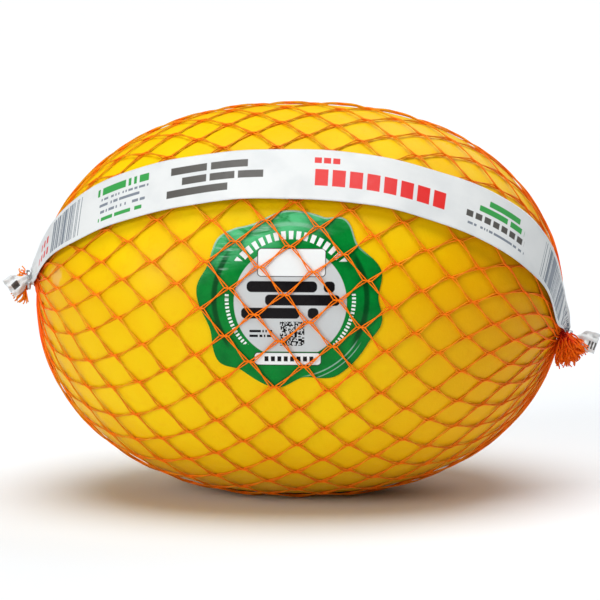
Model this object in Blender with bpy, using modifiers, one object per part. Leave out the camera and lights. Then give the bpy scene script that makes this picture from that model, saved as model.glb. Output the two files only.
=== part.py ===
"""Canary melon in its stretched net, with a film label band, a seal sticker and a wire clip at each end.

Real size. The origin is on the floor at the net's lowest knot, under the middle of the melon. +X runs along
the melon towards the end with the long fringe, +Y points away from the sticker, +Z is up.
Lengths below are millimetres.
"""

import math

import bmesh
import bpy
import numpy as np
from mathutils import Matrix, Vector

MM = 0.001

# Melon: a body turned about X with superellipse ends, resting on a small pressed flat
MELON_HALF_LENGTH = 92.0
MELON_HALF_HEIGHT = 68.8
LENGTH_POWER = 2.265
ROUND_POWER = 2.077
MELON_RINGS = 20
MELON_STEPS = 60
FLAT_DEPTH = 1.45
FLAT_HEIGHT = 1.2
MIDDLE = np.array([-0.4, -0.9, FLAT_HEIGHT + MELON_HALF_HEIGHT - FLAT_DEPTH])
STEM_SCAR_DIRECTION = (-84.0, -27.0, 11.5)
STEM_SCAR_RADIUS = 4.5
STEM_SCAR_DEPTH = 0.6
BLOSSOM_SCAR_DIRECTION = (91.0, 9.0, 6.0)
BLOSSOM_SCAR_RADIUS = 3.5
BLOSSOM_SCAR_DEPTH = 0.35

# Net: diamond mesh of constant side, wrapped about an axis that leans a little against the melon's
NET_COLUMNS = 27
NET_SIDE = 12.6
NET_FIRST_LATITUDE = math.radians(6.19)
NET_FIRST_TURN = math.radians(2.56)
NET_LEFT_TILT = math.radians(4.21)
NET_LEFT_YAW = math.radians(0.77)
NET_RIGHT_TILT = math.radians(7.38)
NET_RIGHT_YAW = math.radians(7.04)
NET_STRAND_WIDTH = 1.1
NET_INNER_LIFT = 0.6
NET_OUTER_LIFT = 1.5
NET_KNOT_REACH = 2.2
NET_FLOOR_INNER = 0.85
NET_SMALLEST_ROW = 10.0
NET_LAST_RADIUS = 6.2

# Gathered necks of the net: radius and height of each ring above the pole
NECK_SPREAD_RADIUS = 7.2
NECK_UNDERSIDE_LIFT = 0.5
NECK_RIM_LIFT = 1.62
NECK_RINGS = ((4.6, 1.9), (2.1, 2.2), (1.5, 2.8), (1.5, 6.4))
LEFT_NECK_DIRECTION = (-0.983, -0.17, 0.0)
RIGHT_NECK_DIRECTION = (0.93, -0.29, -0.225)

# Frayed ends of the net beyond the clips
STRAND_RADIUS = 0.42
LEFT_STRANDS = 6
RIGHT_STRANDS = 11

# Wire clips, crimped round the neck and the film
CLIP_STATION = 4.35
CLIP_INNER_RADIUS = 2.55
CLIP_WIRE = 1.1
CLIP_LENGTH = 1.3
CLIP_CHAMFER = 0.25
CLIP_STEPS = 28
CLIP_GROOVE_DEPTH = 0.45
CLIP_GROOVE_TURN = math.radians(5.0)

# Film label band, flat across its width and drawn in at both clips
BAND_HALF_WIDTH = 10.6
BAND_THICKNESS = 0.4
BAND_LIFT = 2.15
BAND_TURN = math.radians(44.5)
BAND_TURN_SLOPE = 0.085
BAND_TAPER_LATITUDE = math.radians(58.0)
BAND_LAST_LATITUDE = math.radians(80.0)
BAND_POLE_HALF_WIDTH = 7.0
BAND_RIGHT_BULGE = 2.2
BAND_STICKER_LIFT = 0.6
BAND_STATIONS = 27
BAND_END_STATIONS = 5
BAND_CELLS = 6
BAND_TURN_IN = (3.0, 3.15)
BAND_CLIP_FROM = 3.55
BAND_CLIP_TO = 5.3
BAND_NECK_RADIUS = 2.0
BAND_NECK_HALF_WIDTH = 3.0
BAND_LEFT_NECK_TURN = math.radians(38.0)
BAND_RIGHT_NECK_TURN = math.radians(85.0)
LEFT_TAIL = (-6.0, -2.0, -4.0)
LEFT_TAIL_FACE = (-0.1, -1.0, 0.25)
RIGHT_TAIL = (9.6, -1.2, -1.4)
RIGHT_TAIL_FACE = (0.1, -0.55, 0.85)
TAIL_HALF_WIDTH = 3.7
TAIL_CURVE = 0.06
TAIL_STATIONS = 5

# Seal sticker: nine soft lobes round a flat disc, with a pressed ring near the rim.
# The rim has the radius of each lobe's tip and of the dip after it, from the right round to the top.
STICKER_OUTWARD = (-0.048, -0.989, 0.139)
STICKER_RADIUS = 30.2
STICKER_TIPS = ((17.6, 31.8), (56.2, 32.4), (92.5, 29.7), (140.4, 31.8), (173.6, 31.7),
                (221.5, 32.0), (260.0, 30.1), (302.2, 30.0), (345.7, 31.5))
STICKER_DIPS = ((38.6, 28.9), (69.0, 29.5), (115.0, 28.1), (158.0, 30.0), (200.1, 28.8),
                (235.7, 29.0), (279.2, 26.6), (330.2, 29.8), (361.2, 29.4))
STICKER_STEPS = 54
STICKER_THICKNESS = 0.4
STICKER_GAP = 0.35
STICKER_CREASE = 0.84
STICKER_CREASE_DEPTH = 0.12
STICKER_NET_LIFT = 0.75


def clear_scene():
    for item in list(bpy.data.objects):
        bpy.data.objects.remove(item, do_unlink=True)


def new_collection(name):
    collection = bpy.data.collections.new(name)
    bpy.context.scene.collection.children.link(collection)
    return collection


def new_material(name, colour, roughness, metallic=0.0):
    material = bpy.data.materials.new(name)
    material.use_nodes = True
    shader = material.node_tree.nodes["Principled BSDF"]
    shader.inputs["Base Color"].default_value = (*colour, 1.0)
    shader.inputs["Roughness"].default_value = roughness
    shader.inputs["Metallic"].default_value = metallic
    return material


def mesh_object(name, points, edges, faces, collection):
    """Object from points in millimetres."""
    mesh = bpy.data.meshes.new(name)
    mesh.from_pydata([tuple(point) for point in np.asarray(points) * MM], edges, faces)
    item = bpy.data.objects.new(name, mesh)
    collection.objects.link(item)
    return item


def primitive_object(name, create, collection, **settings):
    """Object from one of bmesh's primitives."""
    work = bmesh.new()
    create(work, **settings)
    mesh = bpy.data.meshes.new(name)
    work.to_mesh(mesh)
    work.free()
    item = bpy.data.objects.new(name, mesh)
    collection.objects.link(item)
    return item


def face_outwards(item):
    work = bmesh.new()
    work.from_mesh(item.data)
    bmesh.ops.recalc_face_normals(work, faces=work.faces)
    work.to_mesh(item.data)
    work.free()


def apply_modifiers(item):
    """Swap the object's mesh for its evaluated one and drop the modifiers."""
    graph = bpy.context.evaluated_depsgraph_get()
    graph.update()
    mesh = bpy.data.meshes.new_from_object(item.evaluated_get(graph))
    item.modifiers.clear()
    item.data = mesh


def cut(item, cutter):
    modifier = item.modifiers.new("Cut", "BOOLEAN")
    modifier.operation = "DIFFERENCE"
    modifier.object = cutter


def thicken(item, thickness):
    modifier = item.modifiers.new("Thickness", "SOLIDIFY")
    modifier.thickness = thickness * MM
    modifier.offset = 0.0
    modifier.use_even_offset = True


def finish(item, material, sharp_angle):
    item.data.materials.clear()
    item.data.materials.append(material)
    item.data.shade_smooth()
    item.data.set_sharp_from_angle(angle=math.radians(sharp_angle))
    return item


def unit(vector):
    vector = np.asarray(vector, float)
    return vector / np.linalg.norm(vector, axis=-1, keepdims=True)


def smooth_step(value):
    value = np.clip(value, 0.0, 1.0)
    return value * value * (3.0 - 2.0 * value)


def crosswise(vectors, along):
    """The part of each vector at right angles to the given directions, at unit length."""
    return unit(vectors - along * np.sum(vectors * along, -1, keepdims=True))


def ring_faces(rings, count):
    """Quads between closed rings of points that follow one another."""
    faces = []
    for ring in range(rings - 1):
        for step in range(count):
            a, b = ring * count + step, ring * count + (step + 1) % count
            faces.append((a, b, b + count, a + count))
    return faces


def sheet_faces(rows, columns):
    """Quads of an open grid of points, row after row."""
    return [(row * columns + column, row * columns + column + 1,
             (row + 1) * columns + column + 1, (row + 1) * columns + column)
            for row in range(rows - 1) for column in range(columns - 1)]


def skin_share(points):
    """Below 1 inside the melon, 1 on its skin; points are about its middle."""
    along = np.abs(points[..., 0]) / MELON_HALF_LENGTH
    out = np.hypot(points[..., 1], points[..., 2]) / MELON_HALF_HEIGHT
    return along ** LENGTH_POWER + out ** ROUND_POWER


def meet_skin(start, direction, low, high):
    """Where rays from inside the melon leave it."""
    shape = np.broadcast_shapes(start.shape, direction.shape)[:-1]
    low, high = np.full(shape, low), np.full(shape, high)
    for _ in range(40):
        middle = (low + high) / 2.0
        inside = skin_share(start + direction * middle[..., None]) < 1.0
        low = np.where(inside, middle, low)
        high = np.where(inside, high, middle)
    return start + direction * low[..., None]


def skin_normal(points):
    radius = np.maximum(np.hypot(points[..., 1], points[..., 2]), 1e-6)
    along = np.abs(points[..., 0]) / MELON_HALF_LENGTH
    out = radius / MELON_HALF_HEIGHT
    slope_x = LENGTH_POWER * along ** (LENGTH_POWER - 1.0) / MELON_HALF_LENGTH * np.sign(points[..., 0])
    slope_r = ROUND_POWER * out ** (ROUND_POWER - 1.0) / MELON_HALF_HEIGHT
    return unit(np.stack([slope_x, slope_r * points[..., 1] / radius, slope_r * points[..., 2] / radius], -1))


def net_place(latitude, turn, lift=0.0):
    """Points above the skin about the melon's middle, with their normals. Turn 0 faces the front."""
    latitude, turn = np.broadcast_arrays(np.asarray(latitude, float), np.asarray(turn, float))
    share = (latitude + math.pi / 2) / math.pi
    tilt = NET_LEFT_TILT + (NET_RIGHT_TILT - NET_LEFT_TILT) * share
    yaw = NET_LEFT_YAW + (NET_RIGHT_YAW - NET_LEFT_YAW) * share
    x = np.sin(latitude)
    y = -np.cos(latitude) * np.cos(turn)
    z = np.cos(latitude) * np.sin(turn)
    x, z = x * np.cos(tilt) + z * np.sin(tilt), -x * np.sin(tilt) + z * np.cos(tilt)
    x, y = x * np.cos(yaw) + y * np.sin(yaw), -x * np.sin(yaw) + y * np.cos(yaw)
    skin = meet_skin(np.zeros(3), np.stack([x, y, z], -1), 0.0, 2.0 * MELON_HALF_LENGTH)
    normal = skin_normal(skin)
    return skin + normal * np.asarray(lift)[..., None], normal


def sticker_axes():
    """Centre of the sticker on the skin and its right, up and outward directions."""
    outward = unit(STICKER_OUTWARD)
    right = unit(np.cross((0.0, 0.0, 1.0), outward))
    centre = meet_skin(np.zeros(3), outward, 0.0, 2.0 * MELON_HALF_LENGTH)
    return centre, right, np.cross(outward, right), outward


def sticker_lift(points):
    """Extra height of the net where it lies over the sticker."""
    centre, right, up, _ = sticker_axes()
    away = points - centre
    distance = np.hypot(away @ right, away @ up)
    over = 1.0 - smooth_step((distance - STICKER_RADIUS - 6.0) / 14.0)
    return np.where(points[..., 1] < 0.0, STICKER_NET_LIFT * over, 0.0)


def build_melon(collection, cutters, material):
    """Turned body with a pressed flat under it and a shallow dish for each scar."""
    angles = np.linspace(math.pi / 2, -math.pi / 2, MELON_RINGS + 1)
    height = MELON_HALF_LENGTH * np.sign(angles) * np.abs(np.sin(angles)) ** (2.0 / LENGTH_POWER)
    radius = MELON_HALF_HEIGHT * np.abs(np.cos(angles)) ** (2.0 / ROUND_POWER)
    radius[[0, -1]] = 0.0
    profile = np.stack([radius, np.zeros(len(angles)), height], -1)
    melon = mesh_object("melon", profile, [(i, i + 1) for i in range(len(angles) - 1)], [], collection)
    screw = melon.modifiers.new("Turn", "SCREW")
    screw.steps = screw.render_steps = MELON_STEPS
    screw.use_merge_vertices = True
    screw.merge_threshold = 0.0001
    apply_modifiers(melon)
    melon.data.transform(Matrix.Translation(Vector(MIDDLE * MM)) @ Matrix.Rotation(math.pi / 2, 4, "Y"))
    face_outwards(melon)

    block = 120.0 * MM
    cut(melon, primitive_object(
        "melon_flat_cutter", bmesh.ops.create_cube, cutters, size=block,
        matrix=Matrix.Translation((0.0, 0.0, FLAT_HEIGHT * MM - block / 2))))
    for name, direction, scar, depth in (
            ("stem_scar_cutter", STEM_SCAR_DIRECTION, STEM_SCAR_RADIUS, STEM_SCAR_DEPTH),
            ("blossom_scar_cutter", BLOSSOM_SCAR_DIRECTION, BLOSSOM_SCAR_RADIUS, BLOSSOM_SCAR_DEPTH)):
        skin = meet_skin(np.zeros(3), unit(direction), 0.0, 2.0 * MELON_HALF_LENGTH)
        ball = (scar ** 2 + depth ** 2) / (2.0 * depth)
        centre = MIDDLE + skin + skin_normal(skin) * (ball - depth)
        turn = Vector((0.0, 0.0, 1.0)).rotation_difference(Vector(skin_normal(skin)))
        cut(melon, primitive_object(
            name, bmesh.ops.create_uvsphere, cutters, u_segments=20, v_segments=28, radius=ball * MM,
            matrix=Matrix.Translation(Vector(centre * MM)) @ turn.to_matrix().to_4x4()))
    apply_modifiers(melon)
    return finish(melon, material, 40.0)


def net_rows():
    """Latitudes of the half rows of knots from one neck to the other."""
    grid = np.linspace(-math.pi / 2, math.pi / 2, 3601)
    skin = meet_skin(np.zeros(3), np.stack([np.sin(grid), np.cos(grid), 0.0 * grid], -1), 0.0, 200.0)
    distance = np.linalg.norm(skin, axis=-1) + NET_OUTER_LIFT
    radius = distance * np.cos(grid)
    slope = np.hypot(np.gradient(distance, grid), distance)

    def step(latitude):
        across = math.pi * np.interp(latitude, grid, radius) / NET_COLUMNS
        return math.sqrt(NET_SIDE ** 2 - across ** 2) / np.interp(latitude, grid, slope)

    rows = {0: NET_FIRST_LATITUDE}
    for way in (1, -1):
        latitude, row = NET_FIRST_LATITUDE, 0
        while True:
            latitude += way * step(latitude + way * step(latitude) / 2)
            row += way
            if abs(latitude) > 1.5 or np.interp(latitude, grid, radius) < NET_SMALLEST_ROW:
                to_pole = math.asin(NET_LAST_RADIUS / (MELON_HALF_LENGTH + NET_OUTER_LIFT))
                rows[row] = way * (math.pi / 2 - to_pole)
                break
            rows[row] = latitude
    return rows


def net_knots(number, latitude, at_end):
    """One half row of knots: the ridge point and the west, east, north and south corners of each."""
    turns = NET_FIRST_TURN + (np.arange(NET_COLUMNS) + (number % 2) / 2) * 2 * math.pi / NET_COLUMNS
    base, normal = net_place(latitude, turns)
    east = crosswise(net_place(latitude, turns + 0.001)[0] - base, normal)
    north = crosswise(net_place(latitude + 0.001, turns)[0] - base, normal)
    cosine = math.pi * np.hypot(base[:, 1], base[:, 2]) / NET_COLUMNS / NET_SIDE
    sine = np.sqrt(1.0 - np.minimum(cosine, 0.95) ** 2)
    east = east * np.minimum(NET_STRAND_WIDTH / 2 / sine, NET_KNOT_REACH)[:, None] * (0.9 if at_end else 1.0)
    north = north * np.minimum(NET_STRAND_WIDTH / 2 / cosine, NET_KNOT_REACH)[:, None] * (0.5 if at_end else 1.0)
    extra = sticker_lift(base)[:, None]
    outer = base + normal * (NET_OUTER_LIFT + extra)
    inner = base + normal * (NET_INNER_LIFT + extra)
    knots = np.stack([inner, outer - east, outer + east, outer + north, outer - north], 1) + MIDDLE
    knots[..., 2] = np.maximum(knots[..., 2], [NET_FLOOR_INNER, 0.0, 0.0, 0.0, 0.0])
    return knots.reshape(-1, 3)


def build_lattice(collection):
    """Strands with a flat outer side and a ridge towards the skin, joined at shared knots."""
    rows = net_rows()
    first, last = min(rows), max(rows)
    points = np.concatenate([net_knots(row, rows[row], row in (first, last)) for row in sorted(rows)])
    west, east, north, south = 1, 2, 3, 4
    faces = []
    for row in range(first, last + 1):
        for column in range(NET_COLUMNS):
            knot = 5 * ((row - first) * NET_COLUMNS + column)
            faces.append((knot + north, knot + east, knot + south, knot + west))
            if row == first:
                faces += [(knot, knot + east, knot + south), (knot, knot + south, knot + west)]
            if row == last:
                faces += [(knot, knot + west, knot + north), (knot, knot + north, knot + east)]
                continue
            for shift, near, far in ((row % 2, east, west), (row % 2 - 1, west, east)):
                other = 5 * ((row + 1 - first) * NET_COLUMNS + (column + shift) % NET_COLUMNS)
                faces += [(knot + north, knot + near, other + south, other + far),
                          (knot, knot + north, other + far, other),
                          (knot, knot + near, other + south, other)]
    net = mesh_object("net", points, [], faces, collection)
    face_outwards(net)
    return net


def neck_frame(side):
    """Pole point, neck direction and two directions across it, front and up."""
    pole = net_place(side * math.pi / 2, 0.0)[0] + MIDDLE
    along = unit(LEFT_NECK_DIRECTION if side < 0 else RIGHT_NECK_DIRECTION)
    front = crosswise(net_place(side * 1.2, 0.0)[0] - net_place(side * 1.2, math.pi)[0], along)
    return pole, along, front, np.cross(front, along) * side


def build_neck(side, collection):
    """Gathered piece from a hollow underside on the skin to the end of the neck."""
    pole, along, front, up = neck_frame(side)
    turns = NET_FIRST_TURN + np.arange(NET_COLUMNS) * 2 * math.pi / NET_COLUMNS

    def skin_ring(radius, lift):
        latitude = side * (math.pi / 2 - math.asin(radius / MELON_HALF_LENGTH))
        return net_place(latitude, turns, np.full(NET_COLUMNS, lift))[0] + MIDDLE

    rings = [skin_ring(NECK_SPREAD_RADIUS / 2, NECK_UNDERSIDE_LIFT),
             skin_ring(NECK_SPREAD_RADIUS, NECK_UNDERSIDE_LIFT), skin_ring(NECK_SPREAD_RADIUS, NECK_RIM_LIFT)]
    for radius, height in NECK_RINGS:
        across = np.outer(np.cos(turns) * radius, front) + np.outer(np.sin(turns) * radius, up)
        share = smooth_step((height - 1.7) / 1.0)
        rings.append(skin_ring(radius, height) * (1.0 - share) + (pole + along * height + across) * share)
    under = net_place(side * math.pi / 2, 0.0, NECK_UNDERSIDE_LIFT)[0] + MIDDLE
    points = np.concatenate(rings + [[under, pole + along * NECK_RINGS[-1][1]]])
    last = (len(rings) - 1) * NET_COLUMNS
    faces = ring_faces(len(rings), NET_COLUMNS)
    for step in range(NET_COLUMNS):
        following = (step + 1) % NET_COLUMNS
        faces += [(len(points) - 2, following, step), (len(points) - 1, last + step, last + following)]
    neck = mesh_object(f"neck_{'left' if side < 0 else 'right'}", points, [], faces, collection)
    face_outwards(neck)


def build_strand(name, path, collection):
    """Four-sided strand: a bevelled curve made into a closed mesh."""
    curve = bpy.data.curves.new(name, "CURVE")
    curve.dimensions = "3D"
    curve.bevel_depth = STRAND_RADIUS * MM
    curve.bevel_resolution = 0
    curve.use_fill_caps = True
    spline = curve.splines.new("POLY")
    spline.points.add(len(path) - 1)
    for target, place in zip(spline.points, path):
        target.co = (*(place * MM), 1.0)
    wire = bpy.data.objects.new(name + "_curve", curve)
    collection.objects.link(wire)
    graph = bpy.context.evaluated_depsgraph_get()
    graph.update()
    mesh = bpy.data.meshes.new_from_object(wire.evaluated_get(graph))
    bpy.data.objects.remove(wire, do_unlink=True)
    strand = bpy.data.objects.new(name, mesh)
    collection.objects.link(strand)
    work = bmesh.new()
    work.from_mesh(mesh)
    bmesh.ops.remove_doubles(work, verts=work.verts, dist=1e-6)
    bmesh.ops.recalc_face_normals(work, faces=work.faces)
    work.to_mesh(mesh)
    work.free()


def build_tuft(side, collection):
    """Frayed ends of the net beyond the clip: short on the left, long and hanging on the right."""
    pole, along, front, up = neck_frame(side)
    random = np.random.default_rng(5 if side < 0 else 11)
    down = np.array([0.0, 0.0, -1.0])
    strands = LEFT_STRANDS if side < 0 else RIGHT_STRANDS
    for index in range(strands):
        if side < 0:
            turn = math.radians(175.0 + 14.0 * index)
            reach = 3.4 + 2.2 * random.random()
            bend = along * 0.4 + down * (1.0 if index % 2 else -0.9)
        else:
            turn = math.radians(-36.0 - 135.0 * index / (strands - 1))
            reach = 7.0 + 4.5 * random.random()
            bend = down * 1.25 + along * (0.2 + 0.5 * random.random())
        outward = front * math.cos(turn) + up * math.sin(turn)
        path = [pole + along * (5.3 + 0.9 * random.random()) + outward * 0.45]
        path.append(path[-1] + (along * 0.75 + outward) * reach * 0.3)
        path.append(path[-1] + unit(along * 0.5 + outward * 0.9 + bend * 0.5) * reach * 0.4)
        path.append(path[-1] + unit(outward * 0.5 + bend) * reach * 0.45)
        build_strand(f"strand_{'left' if side < 0 else 'right'}_{index}", path, collection)


def build_net(collection, material):
    """Raised diamond mesh with both gathered necks and their frayed ends, flat where it meets the floor."""
    net = build_lattice(collection)
    tools = new_collection("net_tools")
    for side in (-1, 1):
        build_neck(side, tools)
        build_tuft(side, tools)
    union = net.modifiers.new("Union", "BOOLEAN")
    union.operation = "UNION"
    union.operand_type = "COLLECTION"
    union.collection = tools
    apply_modifiers(net)
    for item in list(tools.objects):
        bpy.data.objects.remove(item, do_unlink=True)
    bpy.data.collections.remove(tools)
    return finish(net, material, 50.0)


def hermite(start, start_slope, end, end_slope, share):
    share = np.asarray(share)[:, None]
    return ((2 * share ** 3 - 3 * share ** 2 + 1) * start + (share ** 3 - 2 * share ** 2 + share) * start_slope
            + (3 * share ** 2 - 2 * share ** 3) * end + (share ** 3 - share ** 2) * end_slope)


def band_place(latitude):
    """Centre line of the band above the net: points, outward, across and along directions."""
    latitude = np.asarray(latitude, float)

    def centre(at):
        bulge = smooth_step((at - 0.60) / 0.45) * (1.0 - smooth_step((at - 1.15) / 0.22))
        over_sticker = 1.0 - smooth_step((np.abs(at) - 0.30) / 0.30)
        lift = BAND_LIFT + BAND_RIGHT_BULGE * bulge + BAND_STICKER_LIFT * over_sticker
        return net_place(at, BAND_TURN + BAND_TURN_SLOPE * at, lift)

    point, outward = centre(latitude)
    along = unit(centre(latitude + 0.001)[0] - centre(latitude - 0.001)[0])
    across = unit(np.cross(outward, along))
    return point + MIDDLE, np.cross(along, across), across, along


def band_end(side):
    """Centres, outward and across directions, bends and half widths from the skin to the tail's end."""
    start, _, across, along = (value[0] for value in band_place([side * BAND_LAST_LATITUDE]))
    pole, neck, front, up = neck_frame(side)
    turn = BAND_LEFT_NECK_TURN if side < 0 else BAND_RIGHT_NECK_TURN
    radial = front * math.cos(turn) + up * math.sin(turn)
    neck_across = unit(np.cross(radial, neck * side))
    turn_in = pole + neck * BAND_TURN_IN[1] + radial * BAND_TURN_IN[0]
    clip_ends = [pole + neck * station + radial * BAND_NECK_RADIUS
                 for station in (BAND_CLIP_FROM, BAND_CLIP_TO)]
    length = float(np.linalg.norm(turn_in - start))

    def drawn_in(share):
        return hermite(start, along * side * length, turn_in, unit(neck * 0.12 - radial) * length, share)

    shares = np.linspace(0.0, 1.0, BAND_END_STATIONS + 1)[1:]
    blend = smooth_step(shares)[:, None]
    travel = unit(drawn_in(shares + 0.001) - drawn_in(shares - 0.001)) * side
    acrosses = crosswise(across * (1 - blend) + neck_across * blend, travel)
    halves = BAND_POLE_HALF_WIDTH + (BAND_NECK_HALF_WIDTH - BAND_POLE_HALF_WIDTH) * smooth_step(shares)

    tail = np.array(LEFT_TAIL if side < 0 else RIGHT_TAIL)
    face = unit(LEFT_TAIL_FACE if side < 0 else RIGHT_TAIL_FACE)
    tail_shares = np.linspace(0.0, 1.0, TAIL_STATIONS + 1)[1:]
    tail_path = hermite(clip_ends[1], neck * 4.0, clip_ends[1] + tail, tail * 0.8, tail_shares)
    tail_blend = smooth_step(tail_shares * 1.6)[:, None]
    tail_along = unit(np.gradient(np.vstack([clip_ends[1], tail_path]), axis=0)[1:]) * side
    tail_outs = crosswise(radial * (1 - tail_blend) + face * tail_blend, tail_along)
    opening = smooth_step(tail_shares * 1.5)
    return (np.vstack([drawn_in(shares), clip_ends, tail_path]),
            np.vstack([np.cross(travel, acrosses), radial, radial, tail_outs]),
            np.vstack([acrosses, neck_across, neck_across, np.cross(tail_outs, tail_along)]),
            np.concatenate([np.zeros(len(shares)), [1.0 / BAND_NECK_RADIUS] * 2,
                            (1 - opening) / BAND_NECK_RADIUS + TAIL_CURVE]),
            np.concatenate([halves, [BAND_NECK_HALF_WIDTH] * 2,
                            BAND_NECK_HALF_WIDTH + (TAIL_HALF_WIDTH - BAND_NECK_HALF_WIDTH) * opening]))


def build_label_band(collection, material):
    """Strip of film over the front top of the net, with both its tails beyond the clips."""
    latitudes = np.linspace(-BAND_LAST_LATITUDE, BAND_LAST_LATITUDE, BAND_STATIONS)
    middle, outs, acrosses, _ = band_place(latitudes)
    taper = BAND_LAST_LATITUDE - BAND_TAPER_LATITUDE
    narrowing = smooth_step((np.abs(latitudes) - BAND_TAPER_LATITUDE) / taper)
    halves = BAND_HALF_WIDTH + (BAND_POLE_HALF_WIDTH - BAND_HALF_WIDTH) * narrowing
    stations = [middle, outs, acrosses, np.zeros(len(latitudes)), halves]
    left, right = band_end(-1), band_end(1)
    stations = [np.concatenate([before[::-1], here, after])
                for before, here, after in zip(left, stations, right)]
    points = []
    for centre, outward, across, bend, half in zip(*stations):
        for place in np.linspace(-half, half, BAND_CELLS + 1):
            sideways = math.sin(place * bend) / bend if bend else place
            fall = (1 - math.cos(place * bend)) / bend if bend else 0.0
            points.append(centre + across * sideways - outward * fall)
    columns = BAND_CELLS + 1
    band = mesh_object("label_band", points, [], sheet_faces(len(points) // columns, columns), collection)
    thicken(band, BAND_THICKNESS)
    return finish(band, material, 40.0)


def sticker_rim(turns):
    """Radius of the rim, eased from each lobe's tip to the dip beside it."""
    places = [place for pair in zip(STICKER_TIPS, STICKER_DIPS) for place in pair]
    bearings = np.radians([STICKER_DIPS[-1][0] - 360.0] + [bearing for bearing, _ in places])
    radii = np.array([STICKER_DIPS[-1][1]] + [radius for _, radius in places])
    turns = np.where(turns < bearings[0], turns + 2 * math.pi, turns)
    index = np.clip(np.searchsorted(bearings, turns, "right") - 1, 0, len(bearings) - 2)
    share = smooth_step((turns - bearings[index]) / (bearings[index + 1] - bearings[index]))
    return radii[index] * (1.0 - share) + radii[index + 1] * share


def build_seal_sticker(collection, material):
    """Lobed sheet that follows the skin, with a pressed ring near its rim."""
    centre, right, up, outward = sticker_axes()
    turns = np.linspace(0.0, 2 * math.pi, STICKER_STEPS, endpoint=False)
    lobes = sticker_rim(turns) - STICKER_RADIUS

    def sheet(radius, lift):
        flat = centre + np.outer(radius * np.cos(turns), right) + np.outer(radius * np.sin(turns), up)
        skin = meet_skin(flat, outward, -30.0, 0.001)
        return skin + skin_normal(skin) * lift + MIDDLE

    lift = STICKER_GAP + STICKER_THICKNESS / 2
    rings = [sheet(np.full(len(turns), 0.001), lift)[:1]]
    for share in (0.3, 0.55, 0.78, STICKER_CREASE, 0.90, 1.0):
        radius = share * (STICKER_RADIUS + lobes * smooth_step((share - 0.7) / 0.3))
        rings.append(sheet(radius, lift - (STICKER_CREASE_DEPTH if share == STICKER_CREASE else 0.0)))
    count = len(turns)
    faces = [tuple(index + 1 for index in face) for face in ring_faces(len(rings) - 1, count)]
    faces += [(0, 1 + step, 1 + (step + 1) % count) for step in range(count)]
    sticker = mesh_object("seal_sticker", np.concatenate(rings), [], faces, collection)
    face_outwards(sticker)
    thicken(sticker, STICKER_THICKNESS)
    return finish(sticker, material, 60.0)


def build_clip(side, collection, cutters, material):
    """Turned wire ring round the neck and the film, with a groove where the wire's ends meet."""
    name = "clip_left" if side < 0 else "clip_right"
    outer, half = CLIP_INNER_RADIUS + CLIP_WIRE, CLIP_LENGTH / 2
    section = [(outer - CLIP_CHAMFER, 0.0, half), (outer, 0.0, half - CLIP_CHAMFER),
               (outer, 0.0, CLIP_CHAMFER - half), (outer - CLIP_CHAMFER, 0.0, -half),
               (CLIP_INNER_RADIUS, 0.0, -half), (CLIP_INNER_RADIUS, 0.0, half)]
    sides = [(i, (i + 1) % len(section)) for i in range(len(section))]
    clip = mesh_object(name, section, sides, [], collection)
    screw = clip.modifiers.new("Turn", "SCREW")
    screw.steps = screw.render_steps = CLIP_STEPS
    screw.use_merge_vertices = True
    screw.merge_threshold = 0.0001
    apply_modifiers(clip)
    face_outwards(clip)

    pole, along, front, up = neck_frame(side)
    place = np.eye(4)
    place[:3, 0], place[:3, 1], place[:3, 2] = front, np.cross(along, front), along
    place[:3, 3] = (pole + along * CLIP_STATION) * MM
    place = Matrix([list(row) for row in place])
    clip.matrix_world = place
    groove = primitive_object(
        f"{name}_groove_cutter", bmesh.ops.create_cube, cutters, size=1.0 * MM,
        matrix=Matrix.Rotation(CLIP_GROOVE_TURN, 4, "Z")
        @ Matrix.Translation(((outer + math.sqrt(0.5) - CLIP_GROOVE_DEPTH) * MM, 0.0, 0.0))
        @ Matrix.Rotation(math.pi / 4, 4, "Z") @ Matrix.Diagonal((1.0, 1.0, 3.0, 1.0)))
    groove.matrix_world = place
    cut(clip, groove)
    return finish(clip, material, 35.0)


clear_scene()
parts = new_collection("canary_melon_in_net")
cutters = new_collection("cutters")
build_melon(parts, cutters, new_material("melon_skin", (0.93, 0.60, 0.02), 0.42))
build_net(parts, new_material("net_plastic", (0.93, 0.20, 0.03), 0.5))
build_label_band(parts, new_material("label_film", (0.86, 0.89, 0.88), 0.4))
build_seal_sticker(parts, new_material("seal_print", (0.01, 0.30, 0.10), 0.3))
clip_metal = new_material("clip_metal", (0.70, 0.71, 0.72), 0.35, 1.0)
build_clip(-1, parts, cutters, clip_metal)
build_clip(1, parts, cutters, clip_metal)
for cutter in cutters.objects:
    cutter.hide_render = True
    cutter.display_type = "WIRE"
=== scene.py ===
"""Canary melon in its stretched net, with a film label band, a seal sticker and a wire clip at each end.

Everything stands in the frame of the CAD part. Sizes and points are millimetres until a mesh is made.
"""

import math

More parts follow.
